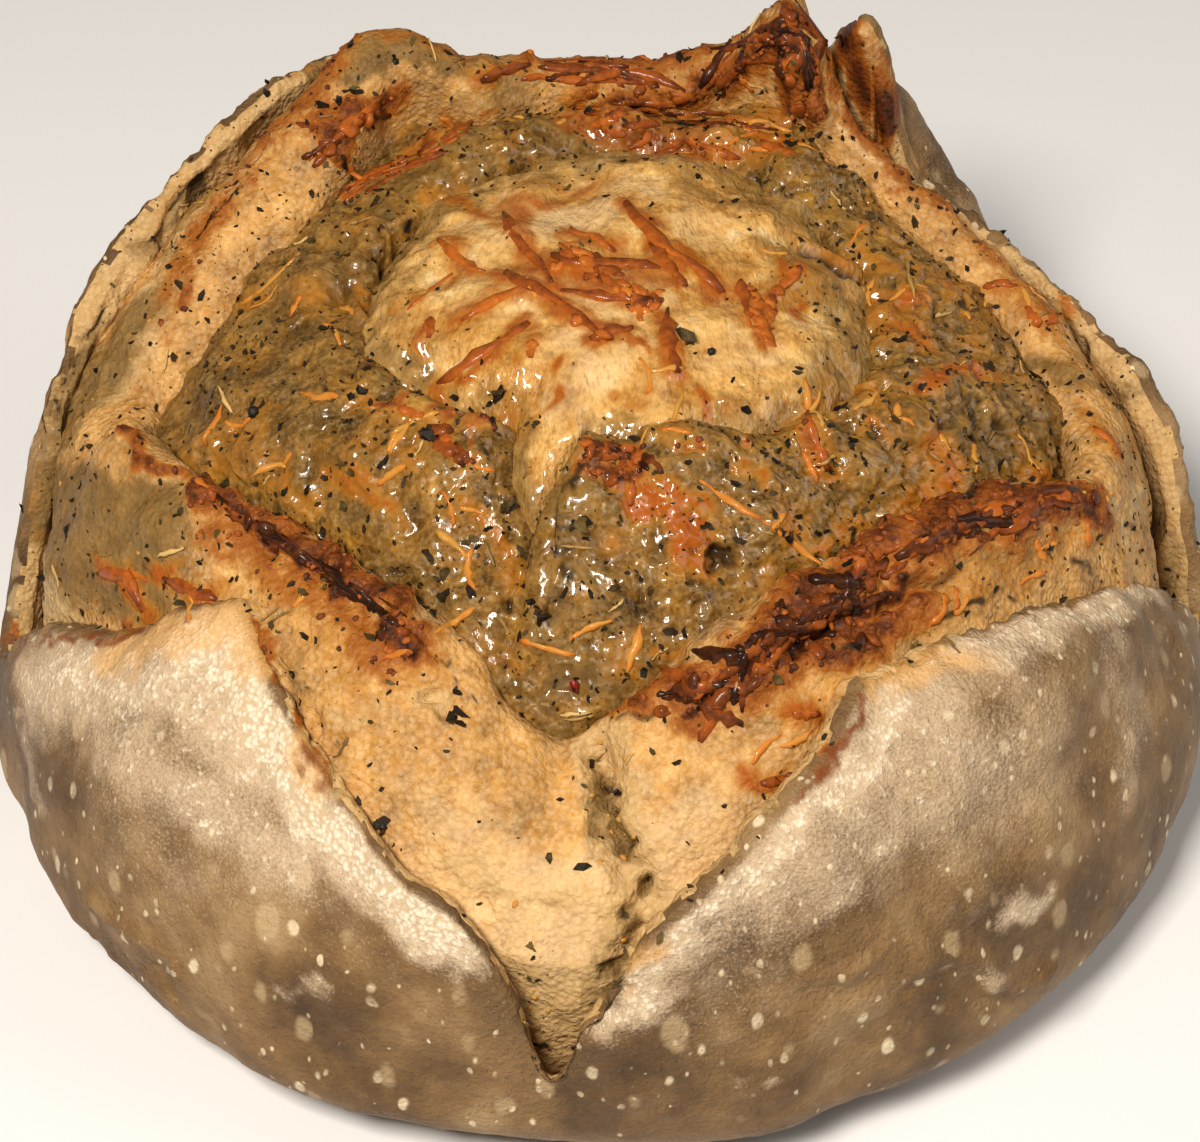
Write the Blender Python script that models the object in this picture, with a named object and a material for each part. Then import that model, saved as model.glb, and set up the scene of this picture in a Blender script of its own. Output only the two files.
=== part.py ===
"""Herb and cheese loaf: a round boule that was scored with a cross and opened in the oven like a flower.

Four layers of dough lie inside each other: the floured crust, a golden layer, a herb layer and a core.
Each layer is one closed shell, lofted round the loaf's axis through sections that follow the layer's rim.
One union joins the layers and the shreds of cheese that lie on them into the loaf, which is one solid.

Sizes are in metres, +Z is up, and -Y is the side where the front slash ends. The loaf stands on z = 0.
"""

import math
import random

import bmesh
import bpy
import numpy as np
from mathutils import Vector, noise
from mathutils.bvhtree import BVHTree

MM = 0.001

# Driving sizes of the whole loaf: its outline seen from above, as azimuth in degrees from +X and radius
# in millimetres, the height where it is widest, and how far its rounded bottom edge draws in to the base
OUTLINE = (
    (0, 110.5),
    (20, 110),
    (60, 106),
    (90, 106),
    (120, 107),
    (150, 109),
    (180, 110.5),
    (205, 107),
    (230, 104),
    (250, 102),
    (270, 101.5),
    (290, 102),
    (310, 103.5),
    (335, 107.5),
)
WIDEST_HEIGHT = 18 * MM
BASE_INSET = 26 * MM

# How far the crust bulges outside its rim at the back right
BULGE = 8 * MM

# How far the golden layer's foot lies inside the crust's, at this height
GOLDEN_INSET = 10 * MM
GOLDEN_FOOT = 15 * MM

# Thickness of each layer's lip, and how far its inner wall reaches down below the lip
CRUST_LIP = 4.5 * MM
GOLDEN_LIP = 9 * MM
BACK_LEFT_ROLL = 8 * MM  # added where the golden layer folds over in a thick roll
HERB_LIP = 8 * MM
GOLDEN_WALL = 24 * MM
HERB_WALL = 18 * MM

# The height of the dome's top, and of the floor under all the inner layers
CORE_TOP = 103 * MM
FLOOR = 22 * MM

# Relief of the dough: broad swellings, and smaller lumps of crust and cheese
SWELL_HEIGHT = 1.5 * MM
SWELL_SIZE = 34 * MM
LUMP_HEIGHT = 0.7 * MM
LUMP_SIZE = 9 * MM

# The tear down the middle of the golden layer's front
TEAR_AZIMUTH = 272.0
TEAR_WIDTH = 4.0
TEAR_DEPTH = 3.5 * MM
TEAR_INNER_RADIUS = 70 * MM
TEAR_OUTER_RADIUS = 98 * MM

# Each rim is a closed line round the opening: azimuth in degrees from +X, radius and height in millimetres
CRUST_RIM = (
    (2, 109, 28),  # right slash's end
    (7, 107, 50),
    (14, 104, 63),
    (26, 98, 71),
    (38, 94, 75),
    (49, 90, 80),
    (57, 89, 113),  # upright tip of the back right petal
    (64, 93, 96),
    (78, 96, 78),
    (92, 101, 60),  # back slash's end
    (106, 98, 84),
    (116, 95, 97),
    (125, 94, 101),  # corner of the back left petal
    (134, 95, 98),
    (143, 97, 92),
    (156, 100, 80),
    (166, 102, 69),
    (174, 105, 47),
    (181, 108, 28),  # left slash's end
    (190, 99, 48),
    (201, 87, 61),
    (214, 71, 78),  # corner of the front left petal
    (223, 75, 76),
    (232, 80, 72),
    (243, 86, 67),
    (251, 91, 62),
    (258.5, 95, 56),
    (262, 98, 45),
    (265.6, 101, 31),  # front slash's end
    (269.5, 98, 46),
    (275, 94, 58),
    (285.6, 87, 68),
    (296.6, 80, 76),
    (306, 73, 80),  # corner of the front right petal
    (321, 74, 78),
    (336, 82, 71),
    (349, 91, 61),
    (357, 99, 48),
)
GOLDEN_RIM = (
    (4, 88, 74),
    (20, 87, 76),
    (34, 84, 82),
    (48, 80, 90),
    (56, 80, 97),
    (65, 84, 116),  # browned peak at the back right
    (73, 84, 104),
    (82, 82, 99),
    (95, 81, 98),
    (107, 80, 102),
    (118, 86, 108),  # peak at the back left
    (128, 84, 100),
    (143, 83, 90),
    (158, 84, 78),
    (168, 86, 70),
    (176, 84, 74),
    (183, 80, 82),  # curled end of the front left edge
    (192, 73, 81),
    (202, 66, 82),
    (220, 59, 82),
    (236, 58, 81),
    (247, 61, 78),
    (256, 64, 73),
    (265, 65, 69),  # point of the inner front slash
    (276, 62, 74),
    (289, 59, 82),
    (302, 57, 86),
    (318, 59, 86),
    (334, 67, 84),
    (350, 81, 78),
)
# The golden layer's shoulder, where its top side turns down into the crust: the same three numbers
GOLDEN_SHOULDER = (
    (2, 98, 55),
    (14, 96, 62),
    (27, 93, 68),
    (49, 85, 76),
    (65, 88, 92),
    (92, 93, 78),
    (116, 90, 92),
    (134, 90, 90),
    (156, 95, 73),
    (166, 97, 64),
    (181, 99, 52),
    (196, 92, 52),
    (214, 84, 60),
    (243, 88, 56),
    (258, 92, 52),
    (268, 93, 50),
    (285, 89, 56),
    (306, 84, 62),
    (336, 89, 58),
    (350, 95, 54),
)
HERB_RIM = (
    (0, 50, 94),
    (18, 54, 94),
    (36, 62, 95),
    (56, 62, 100),
    (74, 65, 100),
    (90, 66, 100),
    (111, 62, 98),
    (131, 58, 95),
    (152, 52, 93),
    (170, 45, 94),
    (188, 39, 96),
    (210, 31, 96),
    (228, 28, 95),
    (241, 33, 91),
    (252, 38, 85),  # point of the innermost slash
    (257, 33, 94),
    (263, 26, 101),  # browned ear right of the point
    (285, 27, 101),
    (312, 34, 99),
    (338, 44, 96),
)

# How many columns go round each layer, and how many rings each stretch of its section takes
CRUST_COLUMNS, CRUST_RINGS = 90, (1, 2, 2, 7, 3, 1)
GOLDEN_COLUMNS, GOLDEN_RINGS = 80, (1, 2, 2, 5, 2, 1)
HERB_COLUMNS, HERB_RINGS = 64, (1, 2, 2, 4, 1, 1)
CORE_COLUMNS, CORE_RINGS = 44, (6, 1, 1)

# Shreds of grated cheese: width, thickness, and how far one is sunk into what it lies on
SHRED_WIDTH = 2.3 * MM
SHRED_THICKNESS = 1.7 * MM
SHRED_SINK = 0.35
SHRED_STEPS = 3
SHRED_STEEPEST = 0.9

# Shreds that stand out on the dome and the edges: azimuth and radius of one end, direction, length
HERO_SHREDS = (
    (75, 24, 305, 19),
    (67, 25, 312, 24),
    (118, 26, 290, 26),
    (140, 20, 335, 20),
    (150, 30, 205, 17),
    (172, 15, 215, 22),
    (200, 14, 218, 20),
    (95, 16, 330, 22),
    (60, 14, 265, 18),
    (30, 38, 260, 16),
    (20, 34, 280, 15),
    (350, 30, 275, 13),
    (206, 78, 150, 15),
    (300, 78, 20, 10),
    (292, 82, 10, 9),
)

# Loose drifts of shreds: azimuth and radius of the middle, half the spread, number
SHRED_DRIFTS = (
    (90, 12, 20, 12),
    (10, 30, 15, 6),
    (215, 48, 15, 7),
    (262, 50, 13, 8),
    (310, 46, 14, 7),
    (330, 66, 13, 7),
    (352, 70, 13, 6),
    (60, 76, 12, 7),
    (90, 70, 16, 7),
    (125, 76, 14, 6),
    (168, 66, 14, 6),
    (232, 62, 9, 5),
)
SHRED_LENGTHS = (7 * MM, 17 * MM)


def clear_scene():
    for obj in list(bpy.data.objects):
        bpy.data.objects.remove(obj)


def make_material(name, colour, roughness):
    material = bpy.data.materials.new(name)
    material.use_nodes = True
    shader = material.node_tree.nodes["Principled BSDF"]
    shader.inputs["Base Color"].default_value = (*colour, 1)
    shader.inputs["Roughness"].default_value = roughness
    shader.inputs["Metallic"].default_value = 0
    return material


def smooth_step(value, low, high):
    share = np.clip((value - low) / (high - low), 0, 1)
    return share * share * (3 - 2 * share)


def slopes_of(places, values):
    """Slopes of a closed line through these values that never overshoot them."""
    steps = np.diff(places)
    rises = np.diff(values) / steps
    before, after = rises[:-1], rises[1:]
    mean = 2 * before * after / np.where(before + after == 0, 1, before + after)
    return np.where(before * after > 0, mean, 0)


def rim_line(rim, azimuths):
    """The values of a closed line at these azimuths, in metres: radius and, for a rim, height."""
    table = np.array(rim, float)
    turn = np.eye(1, table.shape[1])[0] * 360
    wrapped = np.vstack([table[-2:] - turn, table, table[:2] + turn])
    places = wrapped[:, 0]
    found = []
    for values in wrapped[:, 1:].T * MM:
        slopes = np.concatenate([[0], slopes_of(places, values), [0]])
        i = np.clip(np.searchsorted(places, azimuths) - 1, 0, len(places) - 2)
        width = places[i + 1] - places[i]
        t = (azimuths - places[i]) / width
        found.append(
            (2 * t**3 - 3 * t**2 + 1) * values[i]
            + (t**3 - 2 * t**2 + t) * width * slopes[i]
            + (3 * t**2 - 2 * t**3) * values[i + 1]
            + (t**3 - t**2) * width * slopes[i + 1]
        )
    return found


def line(a, b):
    return lambda t: (a[0] + (b[0] - a[0]) * t, a[1] + (b[1] - a[1]) * t)


def curve(a, b, c, d):
    """A cubic Bezier curve in the section's plane, from a to d."""

    def at(t):
        weights = ((1 - t) ** 3, 3 * t * (1 - t) ** 2, 3 * t**2 * (1 - t), t**3)
        return tuple(
            sum(w * p[k] for w, p in zip(weights, (a, b, c, d))) for k in (0, 1)
        )

    return at


def flank(rim, foot, corner_share):
    """The outer side of a layer: it leaves the rim towards a corner and comes down upright on the foot."""
    corner = (foot[0], foot[1] + corner_share * (rim[1] - foot[1]))
    start = tuple(rim[k] + 0.5 * (corner[k] - rim[k]) for k in (0, 1))
    end = tuple(foot[k] + 0.55 * (corner[k] - foot[k]) for k in (0, 1))
    return curve(rim, start, end, foot)


def lip(rim, thickness, rise):
    """The rounded edge of a layer, from its inner wall up and over to the rim."""
    inner = (rim[0] - 0.8 * thickness, rim[1] - 0.6 * thickness)
    up = (rim[0] - 0.9 * thickness, rim[1] + (rise - 0.1) * thickness)
    over = (rim[0] - 0.3 * thickness, rim[1] + (rise + 0.1) * thickness)
    return inner, curve(inner, up, over, rim)


def near(azimuths, middle, half_width):
    """1 at the middle azimuth, falling smoothly to 0 at half_width degrees from it."""
    away = np.abs((azimuths - middle + 180) % 360 - 180)
    return 1 - smooth_step(away, 0, half_width)


def section_points(azimuths, ring_numbers, stretches):
    """Radius and height of each point, from its azimuth, its ring and the stretches of the section."""
    radius, height = np.zeros(len(azimuths)), np.zeros(len(azimuths))
    first = 0
    for count, shape in stretches:
        t = (ring_numbers - first) / count
        here = (t >= 0) & (t <= 1)
        r, z = shape(np.clip(t, 0, 1))
        radius[here] = np.broadcast_to(r, radius.shape)[here]
        height[here] = np.broadcast_to(z, height.shape)[here]
        first += count
    return radius, height


def crust_stretches(azimuths):
    rim = rim_line(CRUST_RIM, azimuths)
    outline = rim_line(OUTLINE, azimuths)[0]
    widest = (outline, WIDEST_HEIGHT + 0 * azimuths)
    inner, edge = lip(rim, CRUST_LIP, 0.0)
    wall_foot = (np.minimum(rim[0] + 2 * MM, outline - 9 * MM), 14 * MM + 0 * azimuths)
    outer = flank(rim, widest, 0.76)
    shoulder = near(azimuths, 50.5, 15) + 0.4 * near(azimuths, 325, 40)

    def outer_with_shoulder(t):
        r, z = outer(t)
        swell = shoulder * np.sin(np.pi * np.clip(t * 2.2, 0, 1)) * BULGE
        return r + 0.7 * swell, z + swell

    side = (outline, 0.45 * WIDEST_HEIGHT)
    heel = (outline - 0.45 * BASE_INSET, 0)
    under = (outline - BASE_INSET, 0)
    return (
        (CRUST_RINGS[0], line((0, 14 * MM), wall_foot)),
        (CRUST_RINGS[1], line(wall_foot, inner)),
        (CRUST_RINGS[2], edge),
        (CRUST_RINGS[3], outer_with_shoulder),
        (CRUST_RINGS[4], curve(widest, side, heel, under)),
        (CRUST_RINGS[5], line(under, (0, 0))),
    )


def golden_stretches(azimuths):
    rim = rim_line(GOLDEN_RIM, azimuths)
    outline = rim_line(OUTLINE, azimuths)[0]
    shoulder = rim_line(GOLDEN_SHOULDER, azimuths)
    foot = (outline - GOLDEN_INSET, GOLDEN_FOOT + 0 * azimuths)
    thickness = GOLDEN_LIP + BACK_LEFT_ROLL * near(azimuths, 142, 34)
    inner, edge = lip(rim, thickness, 0.1)
    wall_foot = (rim[0] - thickness, rim[1] - GOLDEN_WALL)
    out, down = shoulder[0] - rim[0], rim[1] - shoulder[1]
    brow = (rim[0] + 0.45 * out, rim[1] - 0.12 * down)
    cheek = (shoulder[0] - 0.22 * out, shoulder[1] + 0.32 * down)
    top_side = curve(rim, brow, cheek, shoulder)

    def torn_top_side(t):
        r, z = top_side(t)
        inside = smooth_step(r, TEAR_INNER_RADIUS, TEAR_INNER_RADIUS + 8 * MM)
        outside = 1 - smooth_step(r, TEAR_OUTER_RADIUS - 4 * MM, TEAR_OUTER_RADIUS)
        depth = TEAR_DEPTH * near(azimuths, TEAR_AZIMUTH, TEAR_WIDTH) * inside * outside
        # Near the slash's end the golden skin stops and the crumb lies deeper
        wedge = near(azimuths, 265, 12) * smooth_step(r, 86 * MM, 92 * MM)
        return r - 0.6 * depth - 2 * MM * wedge, z - depth - 4 * MM * wedge

    start = torn_top_side(1.0)
    fall = start[1] - foot[1]
    hip = (start[0] + 0.7 * (foot[0] - start[0]), start[1] - 0.35 * fall)
    shin = (foot[0], foot[1] + 0.35 * fall)
    return (
        (GOLDEN_RINGS[0], line((0, FLOOR), (wall_foot[0], FLOOR + 0 * azimuths))),
        (GOLDEN_RINGS[1], line((wall_foot[0], FLOOR + 0 * azimuths), inner)),
        (GOLDEN_RINGS[2], edge),
        (GOLDEN_RINGS[3], torn_top_side),
        (GOLDEN_RINGS[4], curve(start, hip, shin, foot)),
        (GOLDEN_RINGS[5], line(foot, (0 * outline, 9 * MM + 0 * azimuths))),
    )


def herb_stretches(azimuths):
    rim = rim_line(HERB_RIM, azimuths)
    golden_rim = rim_line(GOLDEN_RIM, azimuths)
    inner, edge = lip(rim, HERB_LIP, 0.15)
    wall_foot = (rim[0] - 6 * MM, rim[1] - HERB_WALL)
    foot = (golden_rim[0] - 1 * MM, golden_rim[1] - 20 * MM)
    outer = flank(rim, foot, 0.72)
    low = (foot[0], FLOOR + 4 * MM + 0 * azimuths)
    return (
        (
            HERB_RINGS[0],
            line((0, FLOOR + 6 * MM), (wall_foot[0], FLOOR + 6 * MM + 0 * azimuths)),
        ),
        (
            HERB_RINGS[1],
            line((wall_foot[0], FLOOR + 6 * MM + 0 * azimuths), inner),
        ),
        (HERB_RINGS[2], edge),
        (HERB_RINGS[3], outer),
        (HERB_RINGS[4], line(foot, low)),
        (HERB_RINGS[5], line(low, (0 * low[0], low[1]))),
    )


def core_stretches(azimuths):
    rim = rim_line(HERB_RIM, azimuths)
    foot = (rim[0] - 1 * MM, rim[1] - 15 * MM)
    top = (0 * azimuths, CORE_TOP + 0 * azimuths)
    shoulder = (0.55 * foot[0], top[1])
    brow = (foot[0], foot[1] + 0.75 * (CORE_TOP - foot[1]))
    low = (foot[0] - 4 * MM, FLOOR + 9 * MM + 0 * azimuths)
    return (
        (CORE_RINGS[0], curve(top, shoulder, brow, foot)),
        (CORE_RINGS[1], line(foot, low)),
        (CORE_RINGS[2], line(low, (0 * low[0], low[1]))),
    )


def relief(point, seed):
    """How far the dough stands out or in at this point."""
    offset = Vector((seed, 0.37 * seed, -0.71 * seed))
    swell = SWELL_HEIGHT * noise.noise(point / SWELL_SIZE + offset)
    lump = LUMP_HEIGHT * noise.noise(point / LUMP_SIZE - offset)
    return swell + lump


def loft_layer(name, columns, rings, stretches_at, seed):
    """A closed layer: a sphere's rings are moved onto the layer's sections, and the dough gets its relief."""
    total = sum(rings)
    mesh = bmesh.new()
    bmesh.ops.create_uvsphere(mesh, u_segments=columns, v_segments=total, radius=1)
    points = np.array([vertex.co for vertex in mesh.verts])
    azimuths = np.degrees(np.arctan2(points[:, 1], points[:, 0])) % 360
    polar = np.arccos(np.clip(points[:, 2], -1, 1))
    ring_numbers = np.round(polar / math.pi * total)
    radius, height = section_points(azimuths, ring_numbers, stretches_at(azimuths))
    for vertex, angle, r, z in zip(mesh.verts, np.radians(azimuths), radius, height):
        vertex.co = (r * math.cos(angle), r * math.sin(angle), z)
    bmesh.ops.recalc_face_normals(mesh, faces=mesh.faces)
    if mesh.calc_volume(signed=True) < 0:
        bmesh.ops.reverse_faces(mesh, faces=mesh.faces)
    mesh.normal_update()
    shifts = [
        vertex.normal * relief(vertex.co, seed) * min(1, max(0, vertex.co.z / MM - 3) / 9)
        for vertex in mesh.verts
    ]
    for vertex, shift in zip(mesh.verts, shifts):
        vertex.co += shift
    data = bpy.data.meshes.new(name)
    mesh.to_mesh(data)
    mesh.free()
    return bpy.data.objects.new(name, data)


def make_layers():
    return [
        loft_layer("crust", CRUST_COLUMNS, CRUST_RINGS, crust_stretches, 1.0),
        loft_layer("golden_layer", GOLDEN_COLUMNS, GOLDEN_RINGS, golden_stretches, 2.0),
        loft_layer("herb_layer", HERB_COLUMNS, HERB_RINGS, herb_stretches, 3.0),
        loft_layer("core", CORE_COLUMNS, CORE_RINGS, core_stretches, 4.0),
    ]


def surface_finder(layers):
    """A function that gives the top surface's point and normal above (x, y)."""
    trees = []
    for layer in layers:
        vertices = [vertex.co.copy() for vertex in layer.data.vertices]
        faces = [tuple(face.vertices) for face in layer.data.polygons]
        trees.append(BVHTree.FromPolygons(vertices, faces))

    def find(x, y):
        hits = [tree.ray_cast(Vector((x, y, 0.3)), Vector((0, 0, -1))) for tree in trees]
        point, normal, _, _ = max(
            (hit for hit in hits if hit[0] is not None), key=lambda hit: hit[0].z
        )
        return point, normal

    return find


def shred_path(find, start, direction, length, bend):
    """Points and normals along one shred, or None where it would hang over an edge."""
    heading = math.radians(direction)
    step_length = length / SHRED_STEPS
    x, y = start
    path = []
    for _ in range(SHRED_STEPS + 1):
        point, normal = find(x, y)
        if path and abs(point.z - path[-1][0].z) > SHRED_STEEPEST * step_length:
            return None
        along = Vector((math.cos(heading), math.sin(heading), 0))
        path.append((point, (normal + Vector((0, 0, 1))).normalized(), along))
        x += math.cos(heading) * step_length
        y += math.sin(heading) * step_length
        heading += bend / SHRED_STEPS
    return path


def make_shred(name, path):
    """One shred of cheese: a square strip that follows the dough, partly sunk into it."""
    rows = []
    for step, (point, normal, along) in enumerate(path):
        side = normal.cross(along).normalized()
        middle = point + normal * SHRED_THICKNESS * (0.5 - SHRED_SINK)
        taper = 0.7 if step in (0, SHRED_STEPS) else 1.0
        across = side * (SHRED_WIDTH * taper / 2)
        up = normal * (SHRED_THICKNESS * taper / 2)
        rows.append([middle + across * a + up * b for a, b in ((-1, -1), (1, -1), (1, 1), (-1, 1))])
    mesh = bmesh.new()
    rings = [[mesh.verts.new(corner) for corner in row] for row in rows]
    for before, after in zip(rings, rings[1:]):
        for k in range(4):
            mesh.faces.new((before[k], before[(k + 1) % 4], after[(k + 1) % 4], after[k]))
    mesh.faces.new(rings[0][::-1])
    mesh.faces.new(rings[-1])
    bmesh.ops.triangulate(mesh, faces=mesh.faces)
    if mesh.calc_volume(signed=True) < 0:
        bmesh.ops.reverse_faces(mesh, faces=mesh.faces)
    data = bpy.data.meshes.new(name)
    mesh.to_mesh(data)
    mesh.free()
    return bpy.data.objects.new(name, data)


def polar_point(azimuth, radius):
    angle = math.radians(azimuth)
    return radius * math.cos(angle), radius * math.sin(angle)


def make_shreds(find):
    dice = random.Random(7)
    paths = []
    for azimuth, radius, direction, length in HERO_SHREDS:
        start = polar_point(azimuth, radius * MM)
        paths.append(shred_path(find, start, direction, length * MM, dice.uniform(-0.5, 0.5)))
    for azimuth, radius, spread, number in SHRED_DRIFTS:
        middle = polar_point(azimuth, radius * MM)
        for _ in range(number):
            start = [c + dice.uniform(-1, 1) * spread * MM for c in middle]
            length = dice.uniform(*SHRED_LENGTHS)
            bend = dice.uniform(-0.9, 0.9)
            paths.append(shred_path(find, start, dice.uniform(0, 360), length, bend))
    whole = [path for path in paths if path]
    return [make_shred(f"shred_{number:03d}", path) for number, path in enumerate(whole)]


def join_into_loaf(pieces, material):
    """Unites the pieces into one solid, and drops what doesn't hang together with it."""
    scene = bpy.context.scene.collection
    joined = bpy.data.collections.new("to_join")
    scene.children.link(joined)
    loaf = pieces[0]
    loaf.name = loaf.data.name = "loaf"
    home = bpy.data.collections.new("herb_and_cheese_loaf")
    scene.children.link(home)
    home.objects.link(loaf)
    for piece in pieces[1:]:
        joined.objects.link(piece)
    union = loaf.modifiers.new("join", "BOOLEAN")
    union.operation = "UNION"
    union.operand_type = "COLLECTION"
    union.collection = joined
    union.solver = "EXACT"
    bpy.context.view_layer.objects.active = loaf
    bpy.ops.object.modifier_apply(modifier=union.name)
    for piece in pieces[1:]:
        bpy.data.objects.remove(piece)
    bpy.data.collections.remove(joined)
    keep_largest_body(loaf)
    loaf.data.materials.clear()
    loaf.data.materials.append(material)
    loaf.data.shade_smooth()
    loaf.data.set_sharp_from_angle(angle=math.radians(40))
    return loaf


def keep_largest_body(obj):
    mesh = bmesh.new()
    mesh.from_mesh(obj.data)
    left = set(mesh.verts)
    bodies = []
    while left:
        body, edge = set(), [left.pop()]
        while edge:
            vertex = edge.pop()
            body.add(vertex)
            found = {e.other_vert(vertex) for e in vertex.link_edges} & left
            left -= found
            edge += found
        bodies.append(body)
    bodies.sort(key=len)
    loose = [vertex for body in bodies[:-1] for vertex in body]
    bmesh.ops.delete(mesh, geom=loose, context="VERTS")
    mesh.to_mesh(obj.data)
    mesh.free()


def main():
    clear_scene()
    layers = make_layers()
    shreds = make_shreds(surface_finder(layers))
    crust = make_material("baked_crust", (0.46, 0.33, 0.19), 0.75)
    join_into_loaf(layers + shreds, crust)


main()
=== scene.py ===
# %% [markdown]
# # A herb and cheese loaf
# This is a round sourdough loaf. Before baking it was rolled up with dried herbs and grated cheese
# and scored with a cross, and in the oven it opened like a flower. So it has four layers, one inside
# the other: the floured crust, a golden layer, a wet herb layer, and a domed core.
# We rebuild each layer as one closed skin. Then we brown it, flour it and strew it with shreds,
# herbs and stems. The CAD solid gives the size, and it stays in the model for collision.

# %% Load the frame
import math
import random

import bmesh
import bpy
import numpy as np
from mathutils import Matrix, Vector
from mathutils.bvhtree import BVHTree


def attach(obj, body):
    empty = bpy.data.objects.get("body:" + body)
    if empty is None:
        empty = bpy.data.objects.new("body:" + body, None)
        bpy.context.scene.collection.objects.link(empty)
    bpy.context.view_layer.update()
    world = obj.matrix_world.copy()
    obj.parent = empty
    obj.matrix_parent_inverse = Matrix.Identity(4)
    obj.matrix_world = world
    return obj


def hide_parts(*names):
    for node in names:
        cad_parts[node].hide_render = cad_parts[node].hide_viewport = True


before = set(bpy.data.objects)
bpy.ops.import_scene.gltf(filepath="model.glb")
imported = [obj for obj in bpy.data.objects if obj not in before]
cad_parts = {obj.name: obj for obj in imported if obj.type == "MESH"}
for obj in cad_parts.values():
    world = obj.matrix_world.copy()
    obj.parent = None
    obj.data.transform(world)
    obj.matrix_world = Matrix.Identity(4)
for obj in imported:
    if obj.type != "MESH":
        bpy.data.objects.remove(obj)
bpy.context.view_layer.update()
MM = 0.001
print("CAD nodes:", sorted(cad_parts))

# %% [markdown]
# ## The camera
# The photo looks down at the loaf at about 45 degrees from a little over half a metre, with a long
# lens. The camera comes first because we also use it to place things: a browned edge that we see at
# some pixel of the photo lies where that pixel's line of sight meets the dough.

# %% The camera
PHOTO_SIZE = (1200, 1142)
CAMERA_AWAY = 650 * MM
CAMERA_ELEVATION = math.radians(45)
LOOK_AT = Vector((0, 15.6, 30.6)) * MM
PIXELS_PER_MM = 5.41
SENSOR = 36.0

sight = Vector((0, math.cos(CAMERA_ELEVATION), -math.sin(CAMERA_ELEVATION)))
up_in_view = Vector((0, math.sin(CAMERA_ELEVATION), math.cos(CAMERA_ELEVATION)))
camera_place = LOOK_AT - sight * CAMERA_AWAY
focal_pixels = PIXELS_PER_MM * CAMERA_AWAY / MM

bpy.ops.object.camera_add(location=camera_place, rotation=sight.to_track_quat("-Z", "Y").to_euler())
camera = bpy.context.object
camera.name = "photo_camera"
camera.data.sensor_width = SENSOR
camera.data.lens = SENSOR * focal_pixels / PHOTO_SIZE[0]
bpy.context.scene.camera = camera


def line_of_sight(pixel):
    """The direction from the camera through a pixel of the photo."""
    right = (pixel[0] - PHOTO_SIZE[0] / 2) / focal_pixels
    up = (PHOTO_SIZE[1] / 2 - pixel[1]) / focal_pixels
    return (sight + Vector((right, 0, 0)) + up_in_view * up).normalized()


print("camera lens:", round(camera.data.lens, 1), "mm")

# %% [markdown]
# ## Noise
# Dough is never smooth. Blender's noise works on one point at a time, so for some hundred thousand
# points we write our own: random values on a grid, with a smooth blend between them.

# %% Smooth noise for many points at once
CORNERS = [np.array([k & 1, k >> 1 & 1, k >> 2 & 1]) for k in range(8)]


def grid_noise(points, size, seed):
    """Noise between -1 and 1 whose swellings are about one size apart."""
    spot = points / size + 17.31 * seed
    cell = np.floor(spot).astype(np.int64)
    share = spot - cell
    share = share**3 * (share * (share * 6 - 15) + 10)
    total = np.zeros(len(points))
    for corner in CORNERS:
        x, y, z = (cell + corner).T
        mixed = x * 73856093 ^ y * 19349663 ^ z * 83492791 ^ seed * 40503
        mixed = (mixed ^ mixed >> 13) * 1274126177 & 0x7FFFFFFF
        value = ((mixed ^ mixed >> 15) & 0xFFFF) / 32767.5 - 1
        total += value * np.prod(np.where(corner, share, 1 - share), axis=1)
    return total


def rough_noise(points, size, seed, octaves=3):
    """Noise with finer noise on it, each octave half as wide and half as high."""
    parts = [grid_noise(points, size / 2**k, seed + k) / 2**k for k in range(octaves)]
    return sum(parts) / sum(1 / 2**k for k in range(octaves))


def rough_vectors(points, size):
    """Three noises at once, to shift points by."""
    return np.stack([rough_noise(points, size, seed) for seed in (91, 95, 99)], axis=1)


def smooth_step(value, low, high):
    """0 below low, 1 above high, and a smooth blend between them."""
    share = np.clip((value - low) / (high - low), 0, 1)
    return share * share * (3 - 2 * share)


def near(azimuths, middle, half_width):
    """1 at the middle azimuth, falling smoothly to 0 at half_width degrees from it."""
    away = np.abs((azimuths - middle + 180) % 360 - 180)
    return 1 - smooth_step(away, 0, half_width)


# %% [markdown]
# ## The layers' outlines
# A layer is described by lines that go once round the loaf: the rim of the opening, the shoulder
# where the dough turns down, the outline seen from above. Each line is a short table of azimuth,
# radius and height, and between its points we draw a curve that never overshoots them.
# Where a rim dips down, a slash ends.

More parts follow.
